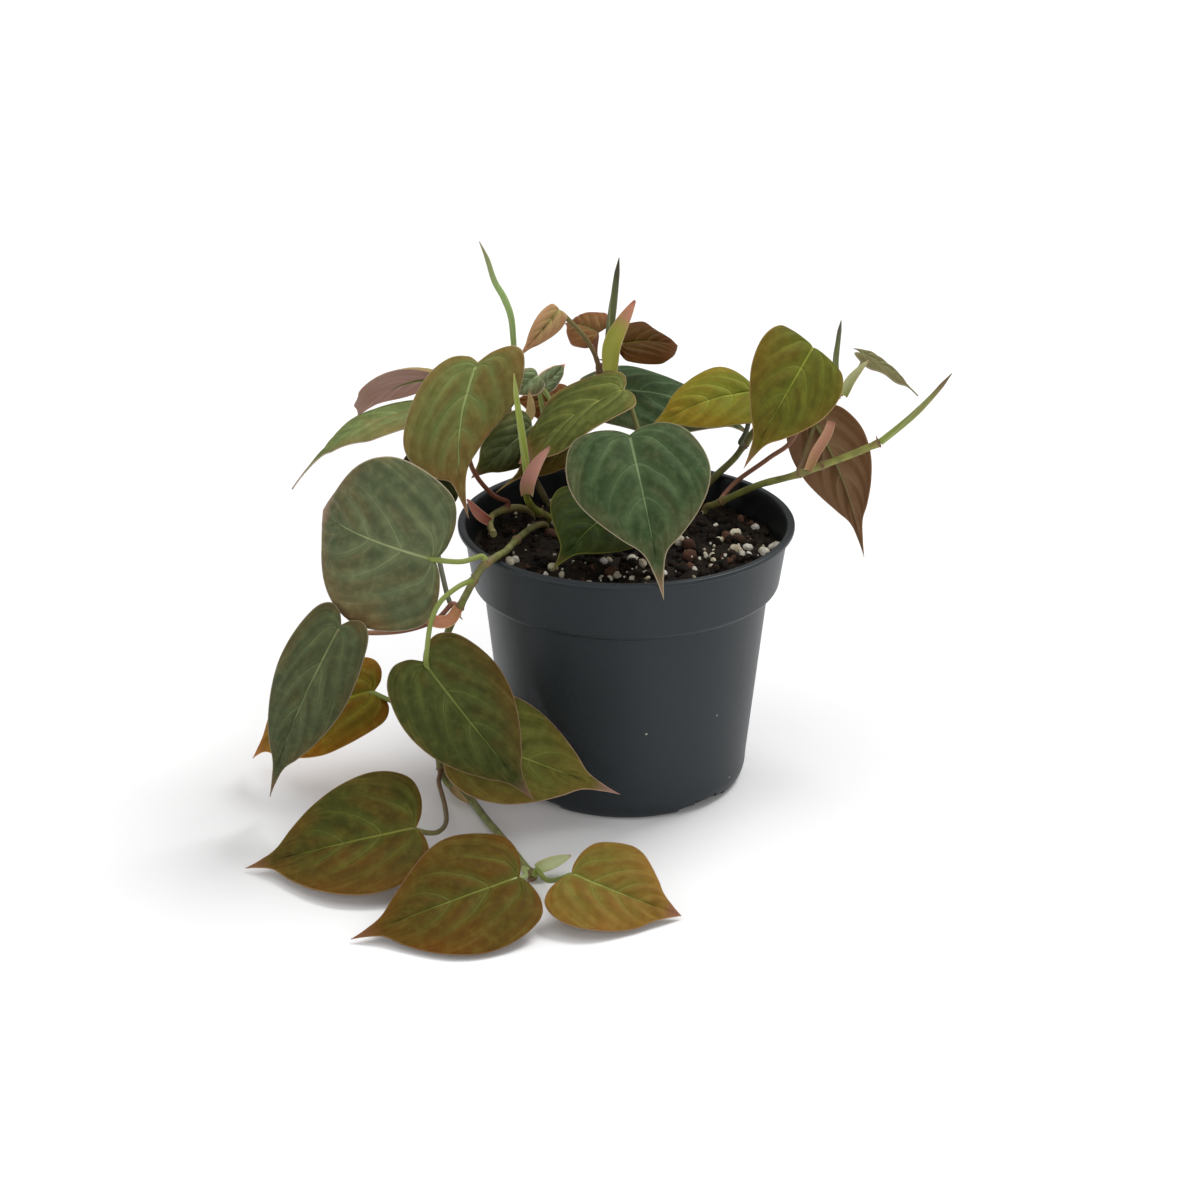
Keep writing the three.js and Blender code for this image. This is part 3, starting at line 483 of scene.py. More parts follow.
        "tone": "salmon", "stalk": "brown", "bronze": (0.5, 0, 0), "tint": (1.1, 1.26, 1.28),
    },
    # Its dark tone is painted shadow of the front leaf above it
    "leaf_in_pot": {
        "base": (-3, -8, 95.5), "tip": (-23, -43, 88.5), "facing": (0.1, -0.5, 1), "width": 36,
        "bow": 3,
        "from": ("centre_vine", (6, 14.5, 85)), "via": [(4, 8, 88), (0, -2, 93.5)],
        "tone": "night", "stalk": "green", "bronze": (0.1, 0, 0), "tint": (0.94, 1.05, 0.39),
    },
}

ROLLED_LEAVES = {
    "rolled_leaf_upper_left": {
        "path": [
            (-36, 25.4, 132.5), (-36.3, 24.8, 141), (-37, 24.5, 148.5), (-39.2, 24.5, 154.8),
            (-42, 24.5, 160.2), (-44.2, 24.5, 167.5), (-46.6, 24.5, 173.2),
        ],
        "radii": (0.9, 1.25, 0.25), "tones": ("#8ea860", "#93ad66", "#8f8a62"),
    },
    "rolled_leaf_top": {
        "path": [(-5.9, 44.1, 128.5), (-4.9, 45, 140), (-3.4, 45, 152), (-2.2, 45, 161.8)],
        "radii": (1.6, 1.5, 0.25), "tones": ("#5c6a34", "#5a6238", "#3e3a22"),
    },
    "rolled_leaf_front": {
        "path": [(-31.5, -0.2, 102.5), (-33, -7, 120), (-34.3, -11, 133), (-35, -13, 142)],
        "radii": (1.35, 1.3, 0.25), "tones": ("#93a636", "#a0ae48", "#a3ad58"),
    },
    "rolled_leaf_vine_end": {
        "path": [
            (82.4, 19.9, 107.4), (88, 20, 112.2), (93.6, 20.2, 117.4), (99.6, 20.6, 124),
            (104.7, 21, 130.4),
        ],
        "radii": (1.2, 1.2, 0.25), "tones": ("#8b9a44", "#8a8b4c", "#7a5e4a"),
    },
    "rolled_leaf_right": {
        "path": [(69.3, 34, 121.1), (68.2, 33, 130), (68.7, 32, 138), (69.4, 31, 145)],
        "radii": (1, 1.1, 0.25), "tones": ("#6f8040", "#6a7444", "#5c5a48"),
    },
}

SHEATHS = {
    "sheath_left_pink": {
        "path": [(-44.2, 6, 85.2), (-47.6, 3.4, 89), (-51, 2, 94.5)],
        "facing": (0, -1, 0.4), "width": 3.4, "tones": ("#a3604f", "#c0806f"),
    },
    "sheath_trailing_orange": {
        "path": [
            (-52.4, -40.5, 74.8), (-55, -43, 71.8), (-59, -43, 71.4), (-63, -41.5, 73),
            (-66, -39.5, 76),
        ],
        "facing": (0, -1, 0.2), "width": 4, "tones": ("#ad7a4e", "#b77f5c"),
    },
    "sheath_front_pink": {
        "path": [(-31.6, -0.2, 97), (-31.2, -3.4, 103), (-28.5, -5, 109.4), (-24.2, -5, 115)],
        "facing": (0, -1, 0.2), "width": 4.8, "tones": ("#d0b27e", "#d9a290"), "turn": 0.12,
    },
    "sheath_top": {
        "path": [(-5.1, 40.3, 124.5), (-4.6, 41.2, 133), (-1.6, 42, 140), (3, 42.5, 148.2)],
        "facing": (0, -1, 0), "width": 6, "tones": ("#a9ae48", "#cf9478"), "turn": 0.68,
    },
    "sheath_right_pink": {
        "path": [(59.2, 20, 97.5), (61.6, 20, 103.8), (65, 19.5, 110.2), (66.4, 19.5, 114.6)],
        "facing": (0, -1, 0.2), "blunt": 1, "width": 3.4, "tones": ("#b08a5c", "#bd8c70"),
    },
    "sheath_far_right": {
        "path": [(71, 31.8, 119.3), (72.6, 28.5, 125.4), (75.4, 26, 130.3), (78.2, 25, 133.6)],
        "facing": (0, -1, 0.2), "width": 3.4, "tones": ("#a6b06c", "#b4bc86"),
    },
    "sheath_floor_right": {
        "path": [(-27.6, -78.4, 3.2), (-22.6, -76, 4.4), (-17.3, -74, 6.2)],
        "facing": (0, -0.4, 1), "width": 5, "tones": ("#a7b476", "#bcc694"),
    },
    "sheath_floor_left": {
        "path": [(-56.8, -22.6, 3.4), (-54, -28, 3.2), (-50.6, -33.8, 3.4)],
        "facing": (0, -0.4, 1), "width": 2.6, "tones": ("#a88c50", "#bba36a"),
    },
    "sheath_back_left": {
        "path": [(-35.6, 37.8, 105.6), (-31.5, 38, 110.5), (-31, 36.5, 115), (-31.5, 35, 119.5)],
        "facing": (0, -1, 0.2), "width": 3.4, "tones": ("#b5b040", "#d9c98e"),
    },
}

# Tones of the leaves

TONE_PARTS = ("deep", "warm", "vein", "tip", "rim", "under", "under_vein")
TONES = {
    "forest": ("#2f4322", "#575234", "#73895a", "#8d7055", "#a39878", "#6e5546", "#98866a"),
    # A darker copy of forest, partly painted shade: the leaf in the pot lies in the shadow of the front leaf
    "night": ("#232f10", "#37330f", "#566640", "#5e4a34", "#6f6a48", "#4c3a2c", "#6c5c44"),
    "sage": ("#4a5434", "#6e5730", "#8f9c66", "#8d7558", "#a79c7c", "#7a6050", "#a08c70"),
    "olive": ("#606832", "#7d5f30", "#98a25e", "#94684e", "#b09a78", "#80604a", "#a48c64"),
    "moss": ("#3d4618", "#634818", "#7e8a40", "#86664a", "#9a8358", "#71503a", "#97845a"),
    "fern": ("#525818", "#6c5a1a", "#8a9838", "#96795a", "#a8925e", "#8a6a48", "#a89a62"),
    "gold": ("#70701a", "#8a6a18", "#a0a040", "#9a7a44", "#a8905a", "#93713c", "#b09c5c"),
    "bronze": ("#50460e", "#70460e", "#85883a", "#8c5c3e", "#97764e", "#7a5534", "#9c8256"),
    "amber": ("#6e5818", "#8c5c20", "#989340", "#8a5040", "#a67a4e", "#8c623c", "#a88c58"),
    "copper": ("#5a3210", "#6c3e18", "#7e6a2c", "#7c4c34", "#8c6a50", "#7b5038", "#9c7450"),
    "rose": ("#7c7440", "#8a6c44", "#a0a060", "#8a5c4c", "#9a7c66", "#a07c6e", "#b8988a"),
    "salmon": ("#ad7a56", "#b5785c", "#b9a968", "#a86a48", "#b09268", "#b0805e", "#c09a78"),
    "pale": ("#7e8450", "#8c8258", "#a0a870", "#94907a", "#b0b08c", "#a3a27e", "#b6b894"),
}

# Each stem's colour at its foot and at its end

STEM_TONES = {
    "trailing_vine": ("#6f7036", "#8c9354"),
    "left_side_shoot": ("#74763a", "#8c8450"),
    "front_shoot": ("#8d9a34", "#a9b045"),
    "back_vine": ("#848f4e", "#9ba865"),
    "left_back_vine": ("#63663a", "#86745a"),
    "centre_vine": ("#74803a", "#869248"),
    "right_vine": ("#4c571f", "#a3a453"),
    "right_back_vine": ("#5c5e30", "#848547"),
}

# Each stalk's colour at its foot and at the blade

STALK_TONES = {
    "green": ("#7f8c3e", "#84924a"),
    "olive": ("#74703a", "#7a7c44"),
    "brown_pink": ("#8f5f4c", "#9a7258"),
    "red_brown": ("#7c4636", "#8c5a44"),
    "grey": ("#5d5f48", "#6a7058"),
    "brown": ("#7a5a42", "#75703e"),
    "pale": ("#a3ad6c", "#a8b478"),
}


# Measures and lines


def colour(code, alpha=1.0):
    """The linear colour of an sRGB hex code, as Blender's colour sockets take it."""
    parts = [int(code[i : i + 2], 16) / 255 for i in (1, 3, 5)]
    linear = [c / 12.92 if c <= 0.04045 else ((c + 0.055) / 1.055) ** 2.4 for c in parts]
    return (*linear, alpha)


def unit(vectors):
    """The vectors at length 1."""
    vectors = np.asarray(vectors, float)
    return vectors / np.maximum(np.linalg.norm(vectors, axis=-1, keepdims=True), 1e-12)


def square_to(vectors, axis):
    """What is left of the vectors when their part along the unit axis is taken away."""
    return vectors - (vectors * axis).sum(-1, keepdims=True) * axis


def ramp(values, low, high):
    """0 at low and 1 at high, with a soft start and end."""
    share = np.clip((np.asarray(values, float) - low) / (high - low), 0, 1)
    return share * share * (3 - 2 * share)


def spline(points, shares, free_ends=True):
    """Places on a Catmull-Rom curve through the points, at shares of its spans.

    The curve runs on straight at free ends, and slows down at ends that aren't free.
    """
    points = np.asarray(points, float)
    before, after = points[0], points[-1]
    if free_ends:
        before = 2 * points[0] - points[1]
        after = 2 * points[-1] - points[-2]
    padded = np.vstack([before, points, after])
    place = np.clip(np.asarray(shares, float), 0, 1) * (len(points) - 1)
    span = np.minimum(place.astype(int), len(points) - 2)
    w = (place - span)[..., None]
    p0, p1, p2, p3 = (padded[span + k] for k in range(4))
    v1 = (p2 - p0) / 2
    v2 = (p3 - p1) / 2
    return (
        (2 * p1 - 2 * p2 + v1 + v2) * w**3
        + (3 * p2 - 3 * p1 - 2 * v1 - v2) * w**2
        + v1 * w
        + p1
    )


def even_line(points, step):
    """Points a step apart along the curve through the given ones."""
    fine = spline(points, np.linspace(0, 1, 40 * len(points)))
    return evenly(fine, step)


def evenly(line, step):
    """The same line with its points about a step apart."""
    lengths = np.concatenate([[0], np.cumsum(np.linalg.norm(np.diff(line, axis=0), axis=1))])
    count = max(3, round(lengths[-1] / step) + 1)
    wanted = np.linspace(0, lengths[-1], count)
    return np.stack([np.interp(wanted, lengths, line[:, k]) for k in range(3)], axis=1)


def tangents(line):
    """The direction of a line at each of its points."""
    return unit(np.gradient(line, axis=0))


def soil_height(x, y):
    """The lumps of the mix, as its solid has them, in millimetres."""
    lumps = math.sin(0.31 * x + 1) * math.cos(0.27 * y) + math.sin(0.13 * x - 0.21 * y)
    return SOIL_SURFACE + SOIL_RELIEF * lumps / 2


# Meshes


class Skin:
    """Points and faces gathered for one piece, with the values its material reads."""

    def __init__(self):
        self.points = []
        self.faces = []
        self.finishes = []
        self.readings = {}

    def add(self, points, faces, finish=0, **readings):
        """Adds a part. A reading has a value for each of its points, or for each corner."""
        first = len(self.points)
        corners_before = sum(len(face) for face in self.faces)
        self.points.extend(np.asarray(points, float) * MM)
        self.faces.extend([[first + k for k in face] for face in faces])
        self.finishes.extend([finish] * len(faces))
        flat = [k for face in faces for k in face]
        for name, values in readings.items():
            values = np.asarray(values, float)
            if len(values) != len(flat):
                values = values[flat]
            known = self.readings.setdefault(name, [])
            known.extend([0.0] * (corners_before - len(known)))
            known.extend(values)

    def piece(self, name, materials):
        """The object, with its place in its mesh."""
        mesh = bpy.data.meshes.new(name)
        mesh.from_pydata([tuple(p) for p in self.points], [], self.faces)
        for material in materials:
            mesh.materials.append(material)
        mesh.polygons.foreach_set("material_index", self.finishes)
        mesh.shade_smooth()
        for label, values in self.readings.items():
            values = list(values) + [0.0] * (len(mesh.loops) - len(values))
            reading = mesh.attributes.new(label, "FLOAT", "CORNER")
            reading.data.foreach_set("value", np.asarray(values, np.float32))
        mesh.update()
        made = bpy.data.objects.new(name, mesh)
        bpy.context.scene.collection.objects.link(made)
        return made


def mark(mesh, name, values):
    """Gives each point of a mesh a value."""
    reading = mesh.attributes.new(name, "FLOAT", "POINT")
    reading.data.foreach_set("value", np.asarray(values, np.float32))


def dye_and_light(mesh, tint):
    """Gives the points of a mesh a tint, one for all or one each: for a stem its colour along it; for a leaf its
    colour with painted light and shade, lightening or darkening the whole leaf.
    """
    tints = np.broadcast_to(np.asarray(tint, np.float32), (len(mesh.vertices), 4))
    reading = mesh.attributes.new("tint", "FLOAT_COLOR", "POINT")
    reading.data.foreach_set("color", np.ascontiguousarray(tints).ravel())


def rings_along(line, sections, start_facing=(0, -1, 0.1)):
    """A ring round each point of a line. A section gives the places across and in front."""
    along = tangents(line)
    front = unit(square_to(np.asarray(start_facing, float), along[0]))
    rings = []
    for k, centre in enumerate(line):
        front = unit(square_to(front, along[k]))
        across = np.cross(along[k], front)
        section = np.asarray(sections[k])
        rings.append(centre + section[:, :1] * across + section[:, 1:] * front)
    return np.array(rings)


def loft_faces(rings, sides):
    """Faces between rings that follow each other, and one at each end."""
    faces = []
    for i in range(rings - 1):
        for k in range(sides):
            a = i * sides + k
            b = i * sides + (k + 1) % sides
            faces.append((a, b, b + sides, a + sides))
    faces.append(tuple(range(sides - 1, -1, -1)))
    faces.append(tuple(range((rings - 1) * sides, rings * sides)))
    return faces


def circle(sides):
    """A round section of radius 1."""
    angles = np.linspace(0, 2 * math.pi, sides, endpoint=False)
    return np.stack([np.cos(angles), np.sin(angles)], axis=1)


def add_tube(skin, line, radii, sides, finish=0, **readings):
    """A round closed tube along a line. A reading has a value for each point of the line."""
    sections = circle(sides)[None] * np.asarray(radii)[:, None, None]
    rings = rings_along(line, sections)
    spread = {name: np.repeat(values, sides) for name, values in readings.items()}
    skin.add(rings.reshape(-1, 3), loft_faces(len(line), sides), finish, **spread)


def settle(piece, nodes, slot):
    """The piece moves with the pot and stands for its nodes."""
    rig.ride(piece, BODY)
    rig.replaces(piece, *nodes)
    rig.slot(piece, slot)


# Node trees


class Wire:
    """A value in a node tree. Arithmetic on it adds Math nodes."""

    def __init__(self, graph, socket):
        self.graph = graph
        self.socket = socket

    def math(self, operation, *others, clamp=False):
        settings = {"operation": operation, "use_clamp": clamp}
        inputs = dict(enumerate((self, *others)))
        return self.graph.node("ShaderNodeMath", settings, inputs)

    def __add__(self, other):
        return self.math("ADD", other)

    __radd__ = __add__

    def __mul__(self, other):
        return self.math("MULTIPLY", other)

    __rmul__ = __mul__

    def __sub__(self, other):
        return self.math("SUBTRACT", other)

    def __rsub__(self, other):
        return self.math("MULTIPLY", -1.0).math("ADD", other)

    def __truediv__(self, other):
        return self.math("DIVIDE", other)

    def __pow__(self, other):
        return self.math("POWER", other)

    def __abs__(self):
        return self.math("ABSOLUTE")

    def nearest_whole(self):
        return self.math("ROUND")

    def held(self):
        """The value, kept between 0 and 1."""
        return self.math("ADD", 0.0, clamp=True)

    def larger(self, other):
        return self.math("MAXIMUM", other)

    def ramp(self, low, high):
        """0 at low and 1 at high, with a soft start and end."""
        settings = {"interpolation_type": "SMOOTHSTEP"}
        sockets = {"Value": self, "From Min": low, "From Max": high}
        return self.graph.node("ShaderNodeMapRange", settings, sockets)


class Graph:
    """Builds one node tree."""

    def __init__(self, tree):
        self.tree = tree

    def node(self, kind, settings=None, sockets=None, output=0):
        """Adds a node: its settings first, then the values or wires of its sockets."""
        made = self.tree.nodes.new(kind)
        for name, value in (settings or {}).items():
            setattr(made, name, value)
        for name, value in (sockets or {}).items():
            if isinstance(value, Wire):
                self.tree.links.new(value.socket, made.inputs[name])
            elif value is not None:
                made.inputs[name].default_value = value
        return Wire(self, made.outputs[output]) if len(made.outputs) else made


class Shade(Graph):
    """The node tree of a material."""

    def __init__(self, name):
        self.material = bpy.data.materials.new(name)
        self.material.use_nodes = True
        super().__init__(self.material.node_tree)
        self.tree.nodes.clear()

    def place(self):
        return self.node("ShaderNodeTexCoord", output="Object")

    def reading(self, name):
        return self.node("ShaderNodeAttribute", {"attribute_name": name}, output="Fac")

    def dyed_and_lit(self, base):
        """The colour, times the piece's own tint: for a leaf this is partly painted light and shade."""
        tint = self.node("ShaderNodeAttribute", {"attribute_name": "tint"}, output="Color")
        return self.mix(1.0, base, tint, blend="MULTIPLY")

    def streaks(self, across, along, turn):
        """Noise drawn out along one of two readings."""
        sockets = {"X": across, "Y": along, "Z": turn}
        plane = self.node("ShaderNodeCombineXYZ", None, sockets)
        return self.noise(plane, 1.0, 3.0, 0.55)

    def noise(self, vector, scale, detail=2.0, roughness=0.5):
        sockets = {"Vector": vector, "Scale": scale, "Detail": detail, "Roughness": roughness}
        return self.node("ShaderNodeTexNoise", None, sockets)

    def cells(self, vector, scale):
        """How far a place is from the middle of its cell."""
        sockets = {"Vector": vector, "Scale": scale}
        return self.node("ShaderNodeTexVoronoi", None, sockets, output="Distance")

    def stretched(self, vector, factors):
        settings = {"operation": "MULTIPLY"}
        return self.node("ShaderNodeVectorMath", settings, {0: vector, 1: factors})

    def mix(self, factor, first, second, blend="MIX"):
        """The first colour, going over to the second as the factor goes to 1."""
        settings = {"data_type": "RGBA", "blend_type": blend}
        return self.node("ShaderNodeMix", settings, {0: factor, 6: first, 7: second}, output=2)

    def specks(self, place, per_metre, size, share):
        """1 on small round specks: size is a share of a cell, share how many cells have one."""
        distance = self.cells(place, per_metre)
        chosen = self.noise(place, per_metre * 0.9, 0.0).ramp(1 - share, 1.02 - share)
        return (1 - distance.ramp(size * 0.6, size)) * chosen

    def surface(self, fixed, base, roughness, height=None, depth=0.0001):
        """The shader: what is fixed goes on its sockets, what varies comes by wire."""
        sockets = {"Base Color": base, "Roughness": roughness, **fixed}
        if height is not None:
            bump = {"Strength": 1.0, "Distance": depth, "Height": height}
            sockets["Normal"] = self.node("ShaderNodeBump", None, bump)
        shader = self.node("ShaderNodeBsdfPrincipled", None, sockets)
        self.node("ShaderNodeOutputMaterial", None, {"Surface": shader})
        return self.material


class Growth(Graph):
    """A Geometry Nodes tree, run on a mesh and kept as a plain one."""

    def __init__(self, name):
        super().__init__(bpy.data.node_groups.new(name, "GeometryNodeTree"))
        self.tree.interface.new_socket(
            "Geometry", in_out="OUTPUT", socket_type="NodeSocketGeometry"
        )
        self.source = self.tree.nodes.new("NodeGroupInput")

    def given(self, name, kind="Float"):
        """A named input of the tree."""
        self.tree.interface.new_socket(name, in_out="INPUT", socket_type=f"NodeSocket{kind}")
        return Wire(self, self.source.outputs[name])

    def named(self, name):
        """A value that the points carry."""
        return self.node("GeometryNodeInputNamedAttribute", {"data_type": "FLOAT"}, {"Name": name})

    def stored(self, geometry, name, value):
        """The geometry, with the value kept on its points."""
        settings = {"data_type": "FLOAT", "domain": "POINT"}
        sockets = {"Geometry": geometry, "Name": name, "Value": value}
        return self.node("GeometryNodeStoreNamedAttribute", settings, sockets)

    def chance(self, low, high, seed):
        """A number between low and high for each point."""
        settings = {"data_type": "FLOAT"}
        sockets = {2: low, 3: high, "Seed": seed}
        return self.node("FunctionNodeRandomValue", settings, sockets, output=1)

    def chances(self, low, high, seed):
        """A vector for each point, each part between low and high."""
        settings = {"data_type": "FLOAT_VECTOR"}
        sockets = {0: (low,) * 3, 1: (high,) * 3, "Seed": seed}
        return self.node("FunctionNodeRandomValue", settings, sockets)

    def vector(self, x, y, z):
        return self.node("ShaderNodeCombineXYZ", None, {"X": x, "Y": y, "Z": z})

    def scaled(self, vector, factor):
        settings = {"operation": "SCALE"}
        return self.node("ShaderNodeVectorMath", settings, {0: vector, "Scale": factor})

    def circle(self, resolution, radius):
        sockets = {"Resolution": resolution, "Radius": radius}
        return self.node("GeometryNodeCurvePrimitiveCircle", None, sockets)

    def joined(self, *parts):
        join = self.tree.nodes.new("GeometryNodeJoinGeometry")
        for part in parts:
            self.tree.links.new(part.socket, join.inputs[0])
        return Wire(self, join.outputs[0])

    def end(self, geometry, material):
        """Realizes the instances, gives all the material and closes the tree."""
        real = self.node("GeometryNodeRealizeInstances", None, {"Geometry": geometry})
        smooth = self.node("GeometryNodeSetShadeSmooth", None, {"Geometry": real})
        dressed = self.node(
            "GeometryNodeSetMaterial", None, {"Geometry": smooth, "Material": material}
        )
        sink = self.tree.nodes.new("NodeGroupOutput")
        self.tree.links.new(dressed.socket, sink.inputs[0])

    def grow(self, name, mesh, **values):
        """The object that the tree makes of a mesh. A value is given by its input's name."""
        made = bpy.data.objects.new(name, mesh)
        bpy.context.scene.collection.objects.link(made)
        modifier = made.modifiers.new("Growth", "NODES")
        modifier.node_group = self.tree
        for label, value in values.items():
            socket = self.tree.interface.items_tree[label.replace("_", " ").capitalize()]
            modifier[socket.identifier] = value
        depsgraph = bpy.context.evaluated_depsgraph_get()
        grown = bpy.data.meshes.new_from_object(made.evaluated_get(depsgraph))
        made.modifiers.remove(modifier)
        made.data = grown
        grown.name = name
        return made


# Nursery pot


def rounded_corner(before, corner, after, radius, steps=5):
    """The points of an arc that rounds a corner of a profile."""
    corner = np.asarray(corner, float)
    back = np.asarray(before, float) - corner
    ahead = np.asarray(after, float) - corner
    reach = min(radius, 0.45 * np.linalg.norm(back), 0.45 * np.linalg.norm(ahead))
    start = corner + unit(back) * reach
    end = corner + unit(ahead) * reach
    shares = np.linspace(0, 1, steps)[:, None]
    return (1 - shares) ** 2 * start + 2 * shares * (1 - shares) * corner + shares**2 * end


def pot_profile(lip_round):
    """Radius, height and rounding at each corner of the pot's section, from its underside out."""
    p = POT
    lip_foot = p["height"] - p["lip_depth"]
    return [
        (0, p["floor_underside"], 0),
        (p["floor_radius"], p["floor_underside"], 0.5),
        (p["ring_inner_radius"], 0, 0.4),
        (p["ring_radius"], 0, 0.8),
        (p["heel_radius"], p["heel_height"], 1.2),
        (p["corner_radius"], p["corner_height"], 2),
        (p["body_foot_radius"], p["body_foot_height"], 2),
        (p["body_top_radius"], p["body_top_height"], 0.5),
        (p["band_foot_radius"] - p["band_chamfer"], p["band_foot_height"] - p["band_chamfer"], 0.5),
        (p["band_foot_radius"], p["band_foot_height"], 0.8),
        (p["band_top_radius"], lip_foot, 0.4),
        (p["lip_radius"], lip_foot, lip_round),
        (p["lip_radius"], p["height"], lip_round),
        (p["lip_inner_radius"], p["height"], lip_round),
        (p["band_top_radius"] - p["wall"], lip_foot, 0.5),
        (p["band_foot_radius"] - p["wall"], p["band_foot_height"] + p["wall"], 0.5),
        (p["body_top_radius"] - p["wall"], p["body_top_height"] + p["wall"], 0.5),
        (p["body_foot_radius"] - p["wall"], p["body_foot_height"], 2),
        (p["inner_corner_radius"], p["inner_corner_height"], 2),
        (p["ring_inner_radius"], p["floor_underside"] + p["wall"], 0.5),
        (0, p["floor_underside"] + p["wall"], 0),
    ]


def turned(profile, sectors):
    """Points and faces of a closed profile turned round the axis."""
    body = np.vstack([
        rounded_corner(before[:2], corner[:2], after[:2], corner[2])
        for before, corner, after in zip(profile, profile[1:], profile[2:])
    ])
    angles = np.linspace(0, 2 * math.pi, sectors, endpoint=False)
    points = [
        (radius * math.cos(angle), radius * math.sin(angle), height)
        for radius, height in body
        for angle in angles
    ]
    return points, loft_faces(len(body), sectors)


def radial_cutter(name, width, depth, bottom, top, radius, angle):
    """A box across a radius of the pot, to be cut out of it."""
    x = np.array([-0.5, 0.5, 0.5, -0.5] * 2) * depth + radius
    y = np.array([-0.5, -0.5, 0.5, 0.5] * 2) * width
    z = np.repeat([bottom, top], 4)
    c, s = math.cos(math.radians(angle)), math.sin(math.radians(angle))
    points = np.stack([c * x - s * y, s * x + c * y, z], axis=1)
    faces = [(3, 2, 1, 0), (4, 5, 6, 7), (0, 1, 5, 4), (1, 2, 6, 5), (2, 3, 7, 6), (3, 0, 4, 7)]
    skin = Skin()
    skin.add(points, faces)
    return skin.piece(name, [])


def cut_away(piece, cutters, bevel):
    """The piece without its cutters, the cut edges eased, as a plain mesh."""
    for cutter in cutters:
        modifier = piece.modifiers.new("Cut", "BOOLEAN")
        modifier.object = cutter
        modifier.solver = "EXACT"
        cutter.hide_render = True
    eased = piece.modifiers.new("Ease", "BEVEL")
    eased.width = bevel
    eased.segments = 2
    eased.limit_method = "ANGLE"
    eased.angle_limit = math.radians(50)
    depsgraph = bpy.context.evaluated_depsgraph_get()
    whole = bpy.data.meshes.new_from_object(piece.evaluated_get(depsgraph))
    piece.modifiers.clear()
    piece.data = whole
    for cutter in cutters:
        bpy.data.objects.remove(cutter)


def plastic_material(settings):
    """Satin black plastic: faint flow marks, fine grain, a little dust, and painted shade on the inner wall above the
    mix.
    """
    shade = Shade("pot plastic")
    place = shade.place()
    flow = shade.noise(shade.stretched(place, (1, 1, 0.25)), 40, 3)
    grain = shade.noise(place, 2200, 2)
    cloud = shade.noise(place, 14, 2)
    dust = shade.specks(place, 90, 0.045, 0.35)
    x, y, z = (shade.node("ShaderNodeSeparateXYZ", None, {0: place}, output=k) for k in range(3))
    climb = (z / MM - POT["band_foot_height"]).larger(0)
    slope = (POT["band_top_radius"] - POT["band_foot_radius"]) / BAND_CLIMB
    middle = POT["band_foot_radius"] - POT["wall"] / 2 + slope * climb
    inside = (middle - (x * x + y * y) ** 0.5 / MM).ramp(-0.1, 0.3) * climb.ramp(0, 1)
    base = shade.mix(cloud, (*settings.plastic, 1), (*settings.plastic_worn, 1))
    base = shade.mix(0.25 * flow, base, (*settings.plastic_worn, 1))
    base = shade.mix(dust * 0.7, base, colour("#c9c6bb"))
    # Painted shade: the inner wall of the band is darkened to near black
    base = shade.mix(0.75 * inside, base, (*settings.soil_and_inner_shade, 1))
    roughness = settings.roughness + 0.12 * (flow - 0.5) + 0.08 * (grain - 0.5) + 0.3 * dust
    height = 0.5 * grain + 0.8 * shade.noise(place, 260, 2)
    fixed = {"Specular IOR Level": 0.36, "Specular Tint": (0.86, 0.95, 1, 1)}
    return shade.surface(fixed, base, roughness, height, 0.00006)


# Potting mix


def mix_radius(height):
    """The inside radius of the pot's band at a height, less a hair."""
    p = POT
    climb = (height - p["band_foot_height"]) / BAND_CLIMB
    outer = p["band_foot_radius"] + climb * (p["band_top_radius"] - p["band_foot_radius"])
    return outer - p["wall"] - 0.1


def mix_relief(x, y, settings):
    """How far the crumbs of the mix rise or sink at a place, in millimetres."""
    broad = noise.noise((x * 0.11, y * 0.11, 3.0))
    crumbs = noise.fractal((x * 0.32, y * 0.32, 7.0), 0.9, 2.1, 4)
    return settings.crumb_height / MM * (0.9 * broad + 0.8 * crumbs)


def mix_point(x, y, settings):
    """The point of the mix's top at a place."""
    return (x, y, soil_height(x, y) + mix_relief(x, y, settings))


def round_places(radius, sectors):
    """Places on a round about the pot's axis."""
    angles = [2 * math.pi * k / sectors for k in range(sectors)]
    return [(radius * math.cos(angle), radius * math.sin(angle)) for angle in angles]


def mix_body(settings, rings=64, sectors=180):
    """Points and faces of the mix: a crumbly top, and a plain side and underside in the pot."""
    p = POT
    edge = mix_radius(SOIL_SURFACE)
    points = [mix_point(0, 0, settings)]
    faces = []
    for i in range(1, rings + 1):
        points += [mix_point(x, y, settings) for x, y in round_places(edge * i / rings, sectors)]
    wall = [
        (mix_radius(p["band_foot_height"] + 2), p["band_foot_height"] + 2),
        (p["body_top_radius"] - p["wall"] - 0.2, p["body_top_height"] + p["wall"]),
        (p["body_foot_radius"] - p["wall"] - 0.2, p["body_foot_height"]),
        (p["floor_radius"], p["floor_underside"] + p["wall"] + 0.3),
    ]
    for radius, height in wall:
        points += [(x, y, height) for x, y in round_places(radius, sectors)]
    for k in range(sectors):
        following = (k + 1) % sectors
        faces.append((0, 1 + k, 1 + following))
        for i in range(rings + len(wall) - 1):
            a = 1 + i * sectors + k
            b = 1 + i * sectors + following
            faces.append((a, a + sectors, b + sectors, b))
    last = 1 + (rings + len(wall) - 1) * sectors
    faces.append(tuple(range(last + sectors - 1, last - 1, -1)))
    return points, faces


